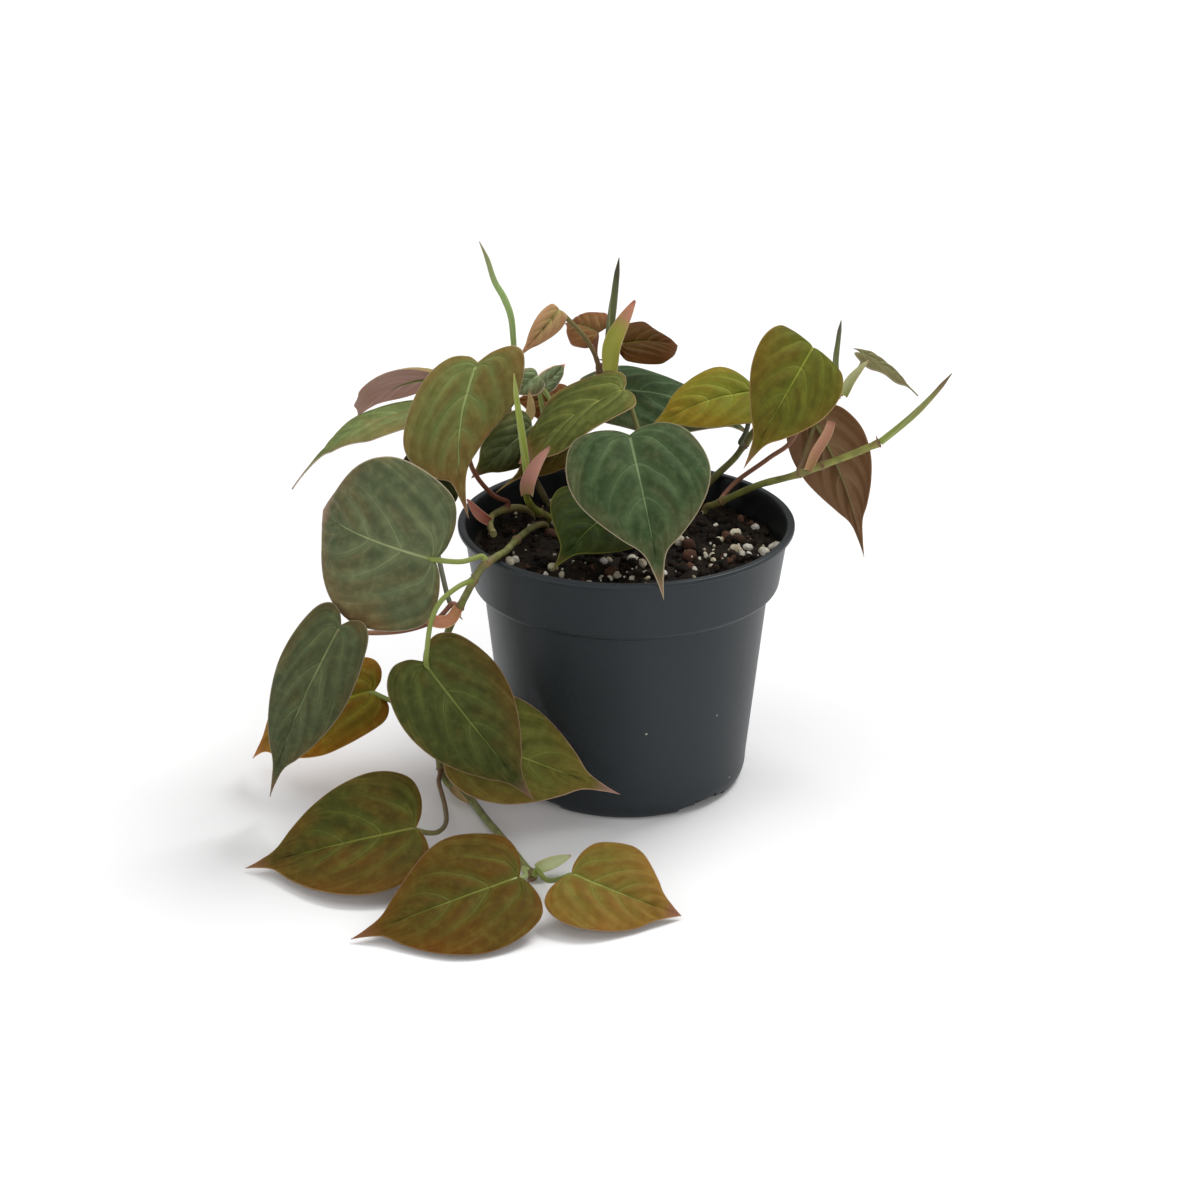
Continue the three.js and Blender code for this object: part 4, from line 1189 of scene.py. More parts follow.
def mix_top(settings, plenty, reach=0.97, rings=40, sectors=120):
    """The top of the mix alone, for grains to lie on, with more of them at some places."""
    edge = mix_radius(SOIL_SURFACE) * reach
    points, faces = [], []
    for i in range(rings + 1):
        radius = edge * (0.01 + 0.99 * i / rings)
        for x, y in round_places(radius, sectors):
            points.append(tuple(part * MM for part in mix_point(x, y, settings)))
    for i in range(rings):
        for k in range(sectors):
            a = i * sectors + k
            b = i * sectors + (k + 1) % sectors
            faces.append((a, a + sectors, b + sectors, b))
    mesh = bpy.data.meshes.new("mix top")
    mesh.from_pydata(points, [], faces)
    ground = np.array(points)[:, :2] / MM
    share = np.full(len(points), float(plenty[0]))
    for x, y, reach_mm, more in plenty[1:]:
        share += more * np.exp(-(((ground - (x, y)) / reach_mm) ** 2).sum(axis=1))
    mark(mesh, "plenty", np.maximum(share, 0))
    return mesh


def grain_growth(material, fineness):
    """Scattered grains: each a lumpy ball of its own size, turn and shape."""
    growth = Growth("grains")
    ground = growth.given("Ground", "Geometry")
    labels = ("Density", "Smallest", "Largest", "Rarity", "Stand", "Lumps")
    density, smallest, largest, rarity, stand, lumps = map(growth.given, labels)
    seed = growth.given("Seed", "Int")
    scattered = growth.node(
        "GeometryNodeDistributePointsOnFaces",
        {"distribute_method": "RANDOM"},
        {"Mesh": ground, "Density": density * growth.named("plenty"), "Seed": seed},
    )
    size = smallest + (largest - smallest) * growth.chance(0.0, 1.0, seed) ** rarity
    raised = growth.node(
        "GeometryNodeSetPosition",
        None,
        {"Geometry": scattered, "Offset": growth.vector(0.0, 0.0, size * stand)},
    )
    ball = growth.node(
        "GeometryNodeMeshIcoSphere", None, {"Radius": 0.5, "Subdivisions": fineness}
    )
    turn = growth.node(
        "FunctionNodeEulerToRotation", None, {0: growth.chances(0.0, 2 * math.pi, 11)}
    )
    shape = growth.chances(0.62, 1.15, 12)
    grains = growth.node(
        "GeometryNodeInstanceOnPoints",
        None,
        {
            "Points": raised,
            "Instance": ball,
            "Rotation": turn,
            "Scale": growth.scaled(shape, size),
        },
    )
    tinted = growth.node(
        "GeometryNodeStoreNamedAttribute",
        {"data_type": "FLOAT", "domain": "INSTANCE"},
        {"Geometry": grains, "Name": "tint", "Value": growth.chance(0.0, 1.0, 13)},
    )
    real = growth.node("GeometryNodeRealizeInstances", None, {"Geometry": tinted})
    where = growth.node("GeometryNodeInputPosition")
    bumps = growth.node(
        "ShaderNodeTexNoise", {"normalize": False}, {"Vector": where, "Scale": 900.0, "Detail": 2.0}
    )
    normal = growth.node("GeometryNodeInputNormal")
    lumpy = growth.node(
        "GeometryNodeSetPosition",
        None,
        {"Geometry": real, "Offset": growth.scaled(normal, bumps * lumps)},
    )
    growth.end(lumpy, material)
    return growth


def perlite_material(settings):
    """Chalky white to cream grains with dark pores and a little soil on them."""
    shade = Shade("perlite")
    place = shade.place()
    tint = shade.reading("tint")
    pores = shade.cells(place, 1500)
    soil_and_inner_shade = shade.noise(place, 240, 3)
    base = shade.mix(tint, (*settings.perlite, 1), (*settings.perlite_cream, 1))
    base = shade.mix((0.75 * soil_and_inner_shade.ramp(0.45, 0.72)).held(), base, colour("#8b7558"))
    base = shade.mix(0.5 * (1 - pores.ramp(0.05, 0.3)), base, colour("#7a705f"))
    return shade.surface({"Specular IOR Level": 0.2}, base, 0.9 - 0.1 * tint, pores, 0.00025)


def bark_material(settings):
    """Reddish-brown crumbs of bark, with fibres."""
    shade = Shade("bark crumbs")
    place = shade.place()
    tint = shade.reading("tint")
    fibres = shade.noise(shade.stretched(place, (1, 1, 5)), 700, 3)
    base = shade.mix(tint, (*settings.bark, 1), colour("#2b1a10"))
    base = shade.mix(0.35 * fibres, base, colour("#75503a"))
    return shade.surface({"Specular IOR Level": 0.3}, base, 0.75 + 0.2 * fibres, fibres, 0.0004)


def peat_material(settings):
    """Dark damp peat: black-brown, with lighter fibres and moist glints."""
    shade = Shade("peat")
    place = shade.place()
    broad = shade.noise(place, 90, 4, 0.65)
    fine = shade.noise(place, 900, 3, 0.6)
    fibres = shade.noise(shade.stretched(place, (1, 3.5, 1)), 420, 4, 0.6)
    base = shade.mix(broad.ramp(0.35, 0.7), (*settings.peat, 1), (*settings.peat_light, 1))
    base = shade.mix(0.6 * fibres.ramp(0.52, 0.75), base, colour("#5a3d26"))
    roughness = 0.62 + 0.35 * fine
    return shade.surface({"Specular IOR Level": 0.1}, base, roughness, fine + broad, 0.0009)


# Stems


def fleshy(depth):
    """The finish of stems and young growth: slightly glossy, with some light passing into it."""
    return {"Specular IOR Level": 0.4, "Subsurface Weight": depth, "Subsurface Scale": 0.001}


def vine_line(name):
    """The middle of a vine, from its root in the mix to its end, in millimetres."""
    points = [list(point) for point in VINES[name]]
    root = [*points[0][:2], points[0][2] - ROOT_DEPTH]
    return even_line([root, *points], 0.8)


def nearest(line, place):
    """The number of a line's point that lies nearest to a place."""
    return int(np.argmin(np.linalg.norm(line - np.asarray(place, float), axis=1)))


def node_places(name):
    """The places on a vine where a leaf grew, each a joint of the stem."""
    places = [leaf["from"][1] for leaf in LEAVES.values() if leaf["from"][0] == name]
    return places + EXTRA_JOINTS.get(name, [])


def stem_mesh(name):
    """The vine's middle as a line of points that carry its swelling and its joints."""
    line = vine_line(name)
    length = np.arange(len(line)) * np.linalg.norm(line[1] - line[0])
    swell = np.zeros(len(line))
    joint = np.zeros(len(line))
    for place in node_places(name):
        k = nearest(line, place)
        swell = np.maximum(swell, np.exp(-(((length - length[k]) / 1.9) ** 2)))
        joint[k] = 1
    mesh = bpy.data.meshes.new(name)
    edges = [(k, k + 1) for k in range(len(line) - 1)]
    mesh.from_pydata([tuple(p * MM) for p in line], edges, [])
    for label, values in {"swell": swell, "joint": joint, "length_mm": length}.items():
        mark(mesh, label, values)
    foot, end = (colour(code) for code in STEM_TONES[name])
    share = length[:, None] / length[-1]
    dye_and_light(mesh, (1 - share) * foot + share * end)
    return mesh


def stem_growth(material):
    """A stem along a line: a tube that swells at its joints, with a ring and root stubs there."""
    growth = Growth("stem")
    line = growth.given("Line", "Geometry")
    labels = ("Radius", "Swelling", "Ring height", "Stub length")
    radius, swelling, ring_height, stub_length = map(growth.given, labels)
    seed = growth.given("Seed", "Int")
    swell = growth.named("swell")
    joint = growth.named("joint")
    where = growth.node("GeometryNodeInputPosition")
    uneven = growth.node(
        "ShaderNodeTexNoise", {"normalize": False}, {"Vector": where, "Scale": 160.0}
    )
    curve = growth.node("GeometryNodeMeshToCurve", None, {"Mesh": line})
    thickness = radius * (1 + swelling * swell + 0.07 * uneven)
    tube = growth.node(
        "GeometryNodeCurveToMesh",
        None,
        {
            "Curve": curve,
            "Profile Curve": growth.circle(18, 1.0),
            "Scale": thickness,
            "Fill Caps": True,
        },
    )
    along = growth.node("GeometryNodeInputTangent")
    upright = growth.node(
        "FunctionNodeAlignRotationToVector", {"axis": "Z"}, {"Vector": along}
    )
    ring_line = growth.circle(20, radius * (1.0 + swelling))
    ring_profile = growth.circle(8, ring_height)
    ring = growth.node(
        "GeometryNodeCurveToMesh", None, {"Curve": ring_line, "Profile Curve": ring_profile}
    )
    cone = growth.node(
        "GeometryNodeMeshCone",
        None,
        {
            "Vertices": 9,
            "Side Segments": 4,
            "Radius Top": radius * 0.12,
            "Radius Bottom": radius * 0.42,
            "Depth": stub_length + radius,
        },
    )
    leaning = growth.node(
        "FunctionNodeEulerToRotation",
        None,
        {0: growth.vector(growth.chance(1.2, 1.9, seed), 0.0, growth.chance(0.0, 6.28, seed + 3))},
    )
    turned_out = growth.node(
        "FunctionNodeRotateRotation",
        {"rotation_space": "LOCAL"},
        {"Rotation": upright, "Rotate By": leaning},
    )
    rings, stubs = (
        growth.node(
            "GeometryNodeInstanceOnPoints",
            None,
            {
                "Points": curve,
                "Selection": joint,
                "Instance": growth.stored(shape, "scar", 1.0),
                "Rotation": rotation,
            },
        )
        for shape, rotation in ((ring, upright), (cone, turned_out))
    )
    growth.end(growth.joined(tube, rings, stubs), material)
    return growth


def stem_material(settings):
    """Bark in the stem's own colour, tan at the joints and browner near the mix."""
    shade = Shade("stem")
    place = shade.place()
    length = shade.reading("length_mm")
    swell = shade.reading("swell")
    scar = shade.reading("scar")
    mottle = shade.noise(place, 190, 3)
    fine = shade.noise(place, 1500, 2)
    old = (1 - length.ramp(2, 26)).held()
    base = shade.dyed_and_lit(shade.mix(mottle.ramp(0.35, 0.68), (1, 1, 1, 1), (0.62, 0.58, 0.6, 1)))
    base = shade.mix(0.4 * old, base, (*settings.joint, 1))
    base = shade.mix((0.55 * swell + 0.9 * scar).held(), base, (*settings.joint, 1))
    base = shade.mix(0.18 * fine, base, colour("#4b4a1c"))
    fixed = fleshy(0.06)
    return shade.surface(fixed, base, 0.45 + 0.25 * mottle, fine + mottle, 0.00012)


# Leaves


def margin_points(leaf):
    """One side of a flat leaf, from the notch behind the stalk to the tip."""
    lobe = leaf.get("lobe", 0.07)
    drip = leaf.get("drip", 0.2)
    blunt = leaf.get("blunt", 0)
    body = 1 - drip
    widest = leaf.get("belly", 0.26) * body
    rest = body - widest
    return [
        (0, -0.3 * lobe),
        (0.2, -0.85 * lobe),
        (0.5, -lobe),
        (0.78, -0.35 * lobe),
        (0.95, 0.4 * widest),
        (1, widest),
        (0.91 + 0.03 * blunt, widest + 0.27 * rest),
        (0.7 + 0.12 * blunt, widest + 0.53 * rest),
        (0.42 + 0.26 * blunt, widest + 0.77 * rest),
        (0.17 + 0.3 * blunt, widest + 0.95 * rest),
        (0.06 + 0.16 * blunt, body + 0.45 * drip),
        (0, 1),
    ]


def midrib(leaf, share):
    """Places on the midrib at shares of its length, with the directions across and up."""
    share = np.asarray(share, float)[..., None]
    base = np.asarray(leaf["base"], float)
    chord = np.asarray(leaf["tip"], float) - base
    up = unit(square_to(np.asarray(leaf["facing"], float), unit(chord)))
    left = unit(np.cross(chord, up))
    bend = up * leaf.get("bow", 2) + left * leaf.get("sway", 0)
    arch = np.where(share > 0, 4 * share * (1 - share), 4 * share)
    slope = np.where(share > 0, 4 - 8 * share, 4)
    point = base + share * chord + arch * bend
    along = unit(chord + slope * bend)
    normal = unit(square_to(up, along))
    return point, np.cross(along, normal), normal


def vein_distance(flat, phase):
    """How many millimetres of the flat blade lie between one side vein and the next."""
    down, out = np.gradient(flat, axis=0), np.gradient(flat, axis=1)
    phase_down, phase_out = np.gradient(phase, axis=0), np.gradient(phase, axis=1)
    area = np.abs(down[..., 0] * out[..., 1] - down[..., 1] * out[..., 0])
    slope_x = phase_down * out[..., 1] - phase_out * down[..., 1]
    slope_y = phase_out * down[..., 0] - phase_down * out[..., 0]
    return area / np.maximum(np.hypot(slope_x, slope_y), 1e-9)


BLADE_READINGS = ("phase", "spread", "rib_mm", "edge_mm", "along", "out", "left")


def blade_grid(leaf, settings):
    """The middle of a blade: places on a grid of side, way along the margin and way out."""
    steps, out = BLADE_STEPS, BLADE_OUT
    t = np.linspace(0, 1, steps + 1)[:, None]
    v = np.linspace(0, 1, out + 1)[None]
    edge = spline(margin_points(leaf), t[:, 0], free_ends=False)
    edge_x, edge_y = edge[:, :1], edge[:, 1:]
    length = np.linalg.norm(np.subtract(leaf["tip"], leaf["base"]))
    vein = np.maximum(0, (t - FIRST_VEIN) / (1 - FIRST_VEIN))
    outward = edge_x * v * leaf["width"] / 2
    fold = leaf.get("fold", (4, 4))
    bend = VEIN_BEND * v**1.45
    past = (t - bend) / (1 - bend) - LOBE_VEIN
    phase = past * (VEIN_RATE + VEIN_CROWDING * np.maximum(past, 0))
    grid = {name: [] for name in ("points", *BLADE_READINGS)}
    for side, lift in ((1, fold[0]), (-1, fold[1])):
        share = vein + (edge_y - vein) * v + leaf.get("shear", 0) * side * edge_x * v
        point, across, normal = midrib(leaf, share)
        flat = np.stack([side * outward, share * length], axis=-1)
        spread = vein_distance(flat, phase)
        reach = np.linalg.norm(np.gradient(flat, 1 / out, axis=1), axis=-1)
        rim = (1 - v) * reach
        behind = np.minimum(share, 0) * length
        rib_mm = np.hypot(outward, behind)
        quilt = np.minimum(settings.quilt_height / MM, QUILT_STEEPNESS * spread)
        quilt = quilt * ramp(phase, -0.9, 0.1) * (1 - ramp(phase, 4, 6))
        quilt = quilt * (0.5 - 0.5 * np.cos(2 * math.pi * phase)) * np.sin(math.pi * v) ** 0.6
        swing = 2 * math.pi * (2.6 * t + 0.31 * len(leaf["via"]) + 0.13 * leaf["width"] * side)
        wave = WAVE_HEIGHT * np.sin(swing) * v**2.5 * edge_x * ramp(t, 0.02, 0.2)
        height = edge_x * (0.8 * np.sin(math.pi * v) - leaf.get("droop", 1.6) * v * v)
        groove = -0.35 * np.exp(-((rib_mm / 0.9) ** 2)) * (1 - ramp(share, 0.7, 1))
        tilt = math.radians(lift)
        sideways = side * outward * math.cos(tilt)
        rise = outward * math.sin(tilt) + height + quilt + wave + groove
        place = point + sideways[..., None] * across + rise[..., None] * normal
        rows = (place, phase, spread, rib_mm, rim, share, v + 0 * t, side * edge_x * v)
        for values, row in zip(grid.values(), rows):
            values.append(row)
    return {name: np.array(values) for name, values in grid.items()}


def blade_corners():
    """Each face of the blade's grid as the places of its corners, and the same for its rim."""
    steps, out = BLADE_STEPS, BLADE_OUT
    number = np.arange(2 * (steps + 1) * (out + 1)).reshape(2, steps + 1, out + 1)
    number[1, :, 0] = number[0, :, 0]
    number[1, 0] = number[0, 0]
    number[:, : int(FIRST_VEIN * steps) + 1, 0] = number[0, 0, 0]
    number[:, steps] = number[0, steps, 0]
    faces, rim = [], []
    for side in (0, 1):
        for i in range(steps):
            for j in range(out):
                corners = [(side, i, j), (side, i, j + 1), (side, i + 1, j + 1), (side, i + 1, j)]
                if side == 1:
                    corners.reverse()
                kept = [c for k, c in enumerate(corners) if number[c] != number[corners[k - 1]]]
                if len(kept) > 2:
                    faces.append(kept)
            ends = [(side, i + 1, out), (side, i, out)]
            rim.append(ends if side == 0 else ends[::-1])
    return number, faces, rim


def face_normals_at_points(points, faces):
    """The direction that each point faces, from the faces round it."""
    normals = np.zeros_like(points)
    for face in faces:
        a, b, c = points[face[0]], points[face[1]], points[face[2]]
        normal = np.cross(b - a, c - a)
        if len(face) > 3:
            normal = normal + np.cross(c - a, points[face[3]] - a)
        for k in face:
            normals[k] += normal
    return unit(normals)


def add_blade(skin, leaf, settings, corners):
    """Adds the blade: its velvety upper side, its underside and the rim between them."""
    number, faces, rim = corners
    grid = blade_grid(leaf, settings)
    used, first = np.unique(number, return_index=True)
    order = {n: k for k, n in enumerate(used)}
    middle = grid["points"].reshape(-1, 3)[first]
    index = [[order[number[c]] for c in face] for face in faces]
    normals = face_normals_at_points(middle, index)
    out = grid["out"].reshape(-1)[first]
    half = settings.blade_thickness / MM / 2 * (1 - 0.65 * out**3)
    count = len(middle)
    points = np.vstack([middle + normals * half[:, None], middle - normals * half[:, None]])
    below = [[k + count for k in reversed(face)] for face in index]
    edges = []
    for start, end in rim:
        a, b = order[number[start]], order[number[end]]
        edges.append([a, b, b + count, a + count])
    corners_in_order = [c for face in faces for c in face]
    corners_in_order += [c for face in faces for c in reversed(face)]
    corners_in_order += [c for start, end in rim for c in (start, end, end, start)]
    readings = {name: [grid[name][c] for c in corners_in_order] for name in BLADE_READINGS}
    skin.add(points, index + below + edges, **readings)
    skin.finishes[-len(below) - len(edges) :] = [1] * (len(below) + len(edges))


def stalk_line(leaf, settings):
    """The middle of a stalk, from inside its vine to far along the blade's underside."""
    vine, place = leaf["from"]
    line = vine_line(vine)
    k = nearest(line, place)
    along = tangents(line)[k]
    away = unit(square_to(np.asarray(leaf["via"][0], float) - line[k], along))
    start = line[k] + away * (settings.vine_radius / MM + 0.3)
    clear = start + away * 1.5 * settings.stalk_radius / MM
    free = even_line([start, clear, *leaf["via"], leaf["base"]], STALK_STEP)
    shares = np.linspace(0.02, 0.6, 40)
    point, across, normal = midrib(leaf, shares)
    fold = leaf.get("fold", (4, 4))
    lean = math.radians(fold[0] - fold[1]) / 2
    under = across * math.sin(lean) - normal * math.cos(lean)
    below = point + under * (0.55 + settings.blade_thickness / MM / 2)
    root = np.array([line[k] + away * f * settings.vine_radius / MM for f in (0.2, 0.7)])
    whole = evenly(np.vstack([root, free[:-2], below]), STALK_STEP)
    for _ in range(3):
        whole[1:-1] = (whole[:-2] + 2 * whole[1:-1] + whole[2:]) / 4
    return whole, (len(root) + len(free)) * STALK_STEP


def add_stalk(skin, leaf, settings, finish):
    """Adds the stalk, which goes on under the blade as its raised midrib."""
    line, free_length = stalk_line(leaf, settings)
    length = np.arange(len(line)) * STALK_STEP
    radius = settings.stalk_radius / MM
    size = np.full(len(line), radius)
    size *= 1 + 0.5 * np.exp(-((length / 1.8) ** 2))
    size *= 1 + 0.12 * np.exp(-(((length - free_length + 2) / 2.5) ** 2))
    under = np.clip((length - free_length) / max(length[-1] - free_length, 1), 0, 1)
    size = size * (1 - 0.9 * under**0.7)
    add_tube(skin, line, size, STALK_SIDES, finish, stalk=np.clip(length / free_length, 0, 1))


def vein_marks(shade):
    """How much a place is on the midrib or a side vein, and how near it is to either."""
    phase = shade.reading("phase")
    spread = shade.reading("spread")
    rib_mm = shade.reading("rib_mm")
    along = shade.reading("along")
    out = shade.reading("out")
    ripple = shade.noise(shade.place(), 130, 2) - 0.5
    bent = phase + 0.2 * ripple
    off = abs(bent - bent.nearest_whole()) * spread
    kept = phase.ramp(-0.6, -0.4) * (1 - phase.ramp(2.6, 4.4)) * (1 - along.ramp(0.62, 0.88))
    vein_width = 0.22 + 0.38 * (1 - out)
    side_vein = (1 - (off / vein_width).ramp(0.15, 1)) * (1 - out.ramp(0.12, 0.8)) * kept
    glow = (1 - off.ramp(0, 3)) * (1 - out.ramp(0.2, 1)) * kept
    rib_width = 0.22 + 0.42 * (1 - 1.6 * along).held()
    rib = (1 - (rib_mm / rib_width).ramp(0.4, 1.3)) * (1 - along.ramp(0.6, 0.88))
    rib_glow = (1 - (rib_mm / rib_width).ramp(0.5, 7)) * (1 - along.ramp(0.3, 0.9))
    return rib, side_vein, glow.larger(rib_glow)


def blade_material(name, tone, settings):
    """The velvety upper side: bronzed patches, lit veins, painted shade of the quilting between the side veins, a
    paler rim and a tan drip tip.
    """
    shade = Shade(f"{name} upper side")
    place = shade.place()
    rib, side_vein, glow = vein_marks(shade)
    edge_mm = shade.reading("edge_mm")
    along = shade.reading("along")
    bronze = shade.reading("bronze")
    phase = shade.reading("phase")
    out = shade.reading("out")
    patches = shade.noise(place, 62, 2)
    net = shade.cells(place, 640)
    velvet = shade.noise(place, 2600, 2)
    mottle = shade.noise(place, 300, 4, 0.6)
    streaks = shade.streaks(3.1 * phase, 1.7 * out, shade.reading("left").ramp(-0.01, 0.01))
    outer = 1 - edge_mm.ramp(0.5, 7)
    # Painted shade of the quilting: 1 midway between two side veins, 0 on them
    painted_pleat_shade = abs(phase - phase.nearest_whole()).ramp(0.2, 0.5) * phase.ramp(-0.9, -0.2)
    uneven = 1.5 * (patches - 0.5) + 0.7 * (streaks - 0.5) + 0.3 * (mottle - 0.5)
    bronzing = (bronze + uneven + 0.25 * outer - 0.4 * glow).held()
    base = shade.mix(bronzing, tone["deep"], tone["warm"])
    base = shade.mix(0.2 * mottle.ramp(0.42, 0.75), base, tone["vein"])
    base = shade.mix(0.22 * streaks.ramp(0.48, 0.8), base, tone["vein"])
    base = shade.mix(0.12 * mottle.ramp(0.5, 0.25), base, colour("#1b200c"))
    # Painted shade between the side veins, on the inner half of the blade
    base = shade.mix(0.13 * painted_pleat_shade * (1 - out.ramp(0.5, 1)), base, colour("#161c0c"))
    base = shade.mix(0.2 * glow, base, tone["vein"])
    base = shade.mix((rib.larger(0.28 * side_vein)).held(), base, tone["vein"])
    base = shade.mix(0.85 * along.ramp(0.8, 0.97), base, tone["tip"])
    base = shade.mix(0.8 * (1 - edge_mm.ramp(0.12, 0.5)), base, tone["rim"])
    # The tint: the leaf's own colour with painted light and shade
    base = shade.dyed_and_lit(shade.mix(0.14 * velvet, base, colour("#20260f")))
    base = shade.mix(0.8 * shade.specks(place, 120, 0.05, 0.2), base, colour("#d9d8cf"))
    roughness = 0.66 - 0.12 * rib.larger(side_vein) + 0.12 * (mottle - 0.5)
    height = 0.5 * velvet + 0.7 * net - 2.2 * rib - 1.8 * side_vein
    fixed = {
        "Specular IOR Level": 0.1,
        "Sheen Weight": settings.velvet_sheen,
        "Sheen Roughness": 0.3,
        "Sheen Tint": colour("#dfe6d0"),
        "Subsurface Weight": 0.05,
        "Subsurface Scale": 0.001,
    }
    return shade.surface(fixed, base, roughness, height, 0.00014)


def underside_material(name, tone, settings):
    """The smoother underside, flushed with rose or bronze, its veins raised."""
    shade = Shade(f"{name} underside")
    place = shade.place()
    rib, side_vein, glow = vein_marks(shade)
    edge_mm = shade.reading("edge_mm")
    patches = shade.noise(place, 70, 3)
    mottle = shade.noise(place, 600, 3)
    base = shade.mix(0.35 * patches.ramp(0.35, 0.7), tone["under"], tone["warm"])
    base = shade.mix((0.25 * mottle).held(), base, tone["under_vein"])
    base = shade.mix(0.3 * glow, base, tone["under_vein"])
    base = shade.mix((0.8 * rib.larger(0.55 * side_vein)).held(), base, tone["under_vein"])
    # The tint: the leaf's own colour with painted light and shade
    base = shade.dyed_and_lit(shade.mix(0.7 * (1 - edge_mm.ramp(0.12, 0.5)), base, tone["rim"]))
    height = 0.5 * mottle + 2.0 * rib + 1.2 * side_vein
    fixed = {
        "Specular IOR Level": 0.25,
        "Sheen Weight": settings.velvet_sheen / 2,
        "Sheen Roughness": 0.5,
        "Subsurface Weight": 0.05,
        "Subsurface Scale": 0.001,
    }
    return shade.surface(fixed, base, 0.52 + 0.15 * mottle, height, 0.00014)


def stalk_material(name, tones):
    """A stalk, going from one colour at its foot to another at the blade."""
    shade = Shade(f"{name} stalk")
    place = shade.place()
    way = shade.reading("stalk")
    mottle = shade.noise(place, 260, 3)
    fine = shade.noise(place, 1800, 2)
    base = shade.mix((way + 0.5 * (mottle - 0.5)).held(), colour(tones[0]), colour(tones[1]))
    base = shade.mix(0.2 * fine, base, colour("#4c4522"))
    fixed = fleshy(0.06)
    return shade.surface(fixed, base, 0.48 + 0.2 * mottle, fine + mottle, 0.0001)


# Rolled leaves and sheaths


def rolled_section(turn):
    """A leaf rolled round itself: a round that grows a little and steps back in at its seam."""
    angles = np.linspace(0, 2 * math.pi, ROLL_SIDES, endpoint=False)
    share = ((angles - turn) / (2 * math.pi)) % 1
    radius = 0.84 + 0.2 * share - 0.2 * np.exp(-((1 - share) / 0.02))
    return circle(ROLL_SIDES) * radius[:, None]


def add_rolled(skin, rolled):
    """Adds a rolled leaf, its seam winding slowly round it."""
    line = even_line(rolled["path"], 0.7)
    share = np.linspace(0, 1, len(line))
    foot, middle, tip = rolled["radii"]
    near_tip = 0.55 * middle + 0.45 * tip
    radius = np.interp(share, [0, 0.5, 0.85, 1], [foot, middle, near_tip, tip * 0.6])
    sections = [rolled_section(1.2 + 2.6 * s) * r for s, r in zip(share, radius)]
    rings = rings_along(line, sections)
    around = np.tile(np.linspace(0, 1, ROLL_SIDES, endpoint=False), len(line))
    way = np.repeat(share, ROLL_SIDES)
    seam = (around - (1.2 + 2.6 * way) / (2 * math.pi)) % 1
    skin.add(rings.reshape(-1, 3), loft_faces(len(line), ROLL_SIDES), way=way, seam=seam)


def rolled_material(name, tones):
    """A young rolled leaf: foot, middle and tip colours, faint long veins and a pale seam."""
    shade = Shade(f"{name} rolled")
    foot, middle, tip = (colour(code) for code in tones)
    way = shade.reading("way")
    seam = shade.reading("seam")
    place = shade.place()
    mottle = shade.noise(place, 240, 3)
    veins = shade.noise(shade.stretched(place, (1, 1, 0.12)), 1600, 2)
    base = shade.mix(way.ramp(0.05, 0.55), foot, middle)
    base = shade.mix((way + 0.25 * (mottle - 0.5)).ramp(0.6, 0.95), base, tip)
    base = shade.mix(0.45 * seam.ramp(0.9, 0.98), base, colour("#c2c493"))
    base = shade.mix(0.25 * veins, base, colour("#454a20"))
    fixed = {**fleshy(0.08), "Sheen Weight": 0.15}
    return shade.surface(fixed, base, 0.5 + 0.2 * mottle, veins, 0.0001)


def sheath_section(half_width, depth, thickness, curl):
    """A crescent: a thin sheet, curled forwards round the young growth that it held."""
    span = np.linspace(-1, 1, SHEATH_SIDES)
    bend = curl * span
    reach = half_width / max(math.sin(curl), 0.2)
    outer = np.stack([reach * np.sin(bend), -reach * np.cos(bend) + reach - depth], axis=1)
    thin = thickness * (1 - 0.75 * span**2)
    inward = np.stack([-np.sin(bend), np.cos(bend)], axis=1)
    inner = outer + inward * thin[:, None]
    return np.vstack([outer, inner[::-1]])


def add_sheath(skin, sheath, settings):
    """Adds a sheath: narrow at its foot, swelling, and drawn out to a point."""
    line = even_line(sheath["path"], 0.5)
    share = np.linspace(0, 1, len(line))
    bow = 0.25 + (0.73 - 0.25 * sheath.get("blunt", 0)) * share
    swell = np.maximum(0.1, np.sin(math.pi * bow) ** 0.75)
    half = swell * sheath["width"] / 2
    curl = np.interp(share, [0, 0.35, 1], [1.45, 1.2, 0.9])
    thickness = settings.sheath_thickness / MM * np.interp(share, [0, 1], [1, 0.5])
    sections = [
        sheath_section(h, 0.25 * h, min(t, 0.6 * h), c) for h, c, t in zip(half, curl, thickness)
    ]
    rings = rings_along(line, sections, sheath["facing"])
    sides = len(sections[0])
    span = np.linspace(-1, 1, SHEATH_SIDES)
    span = np.tile(np.abs(np.concatenate([span, span[::-1]])), len(line))
    way = np.repeat(share, sides)
    skin.add(rings.reshape(-1, 3), loft_faces(len(line), sides), way=way, span=span)


def sheath_material(name, tones, turn):
    """A papery bract: one colour at the foot, another from the turn on, and paler edges."""
    shade = Shade(f"{name} bract")
    foot, tip = (colour(code) for code in tones)
    way = shade.reading("way")
    span = shade.reading("span")
    place = shade.place()
    mottle = shade.noise(place, 220, 3)
    veins = shade.noise(place, 1500, 2)
    change = way + 0.4 * (mottle - 0.5)
    base = shade.mix(change.ramp(turn - 0.2, turn + 0.2), foot, tip)
    base = shade.mix(0.45 * span.ramp(0.8, 1), base, colour("#d9c3a0"))
    base = shade.mix(0.22 * veins, base, colour("#7c4a3a"))
    base = shade.mix(0.6 * way.ramp(0.9, 1), base, colour("#8a5a48"))
    fixed = fleshy(0.1)
    return shade.surface(fixed, base, 0.5 + 0.2 * mottle, veins + mottle, 0.00012)


# Settings


def colour_setting(name, description, default):
    """A colour that can be picked."""
    return FloatVectorProperty(
        name=name, description=description, default=default, size=3, min=0, max=1, subtype="COLOR",
    )


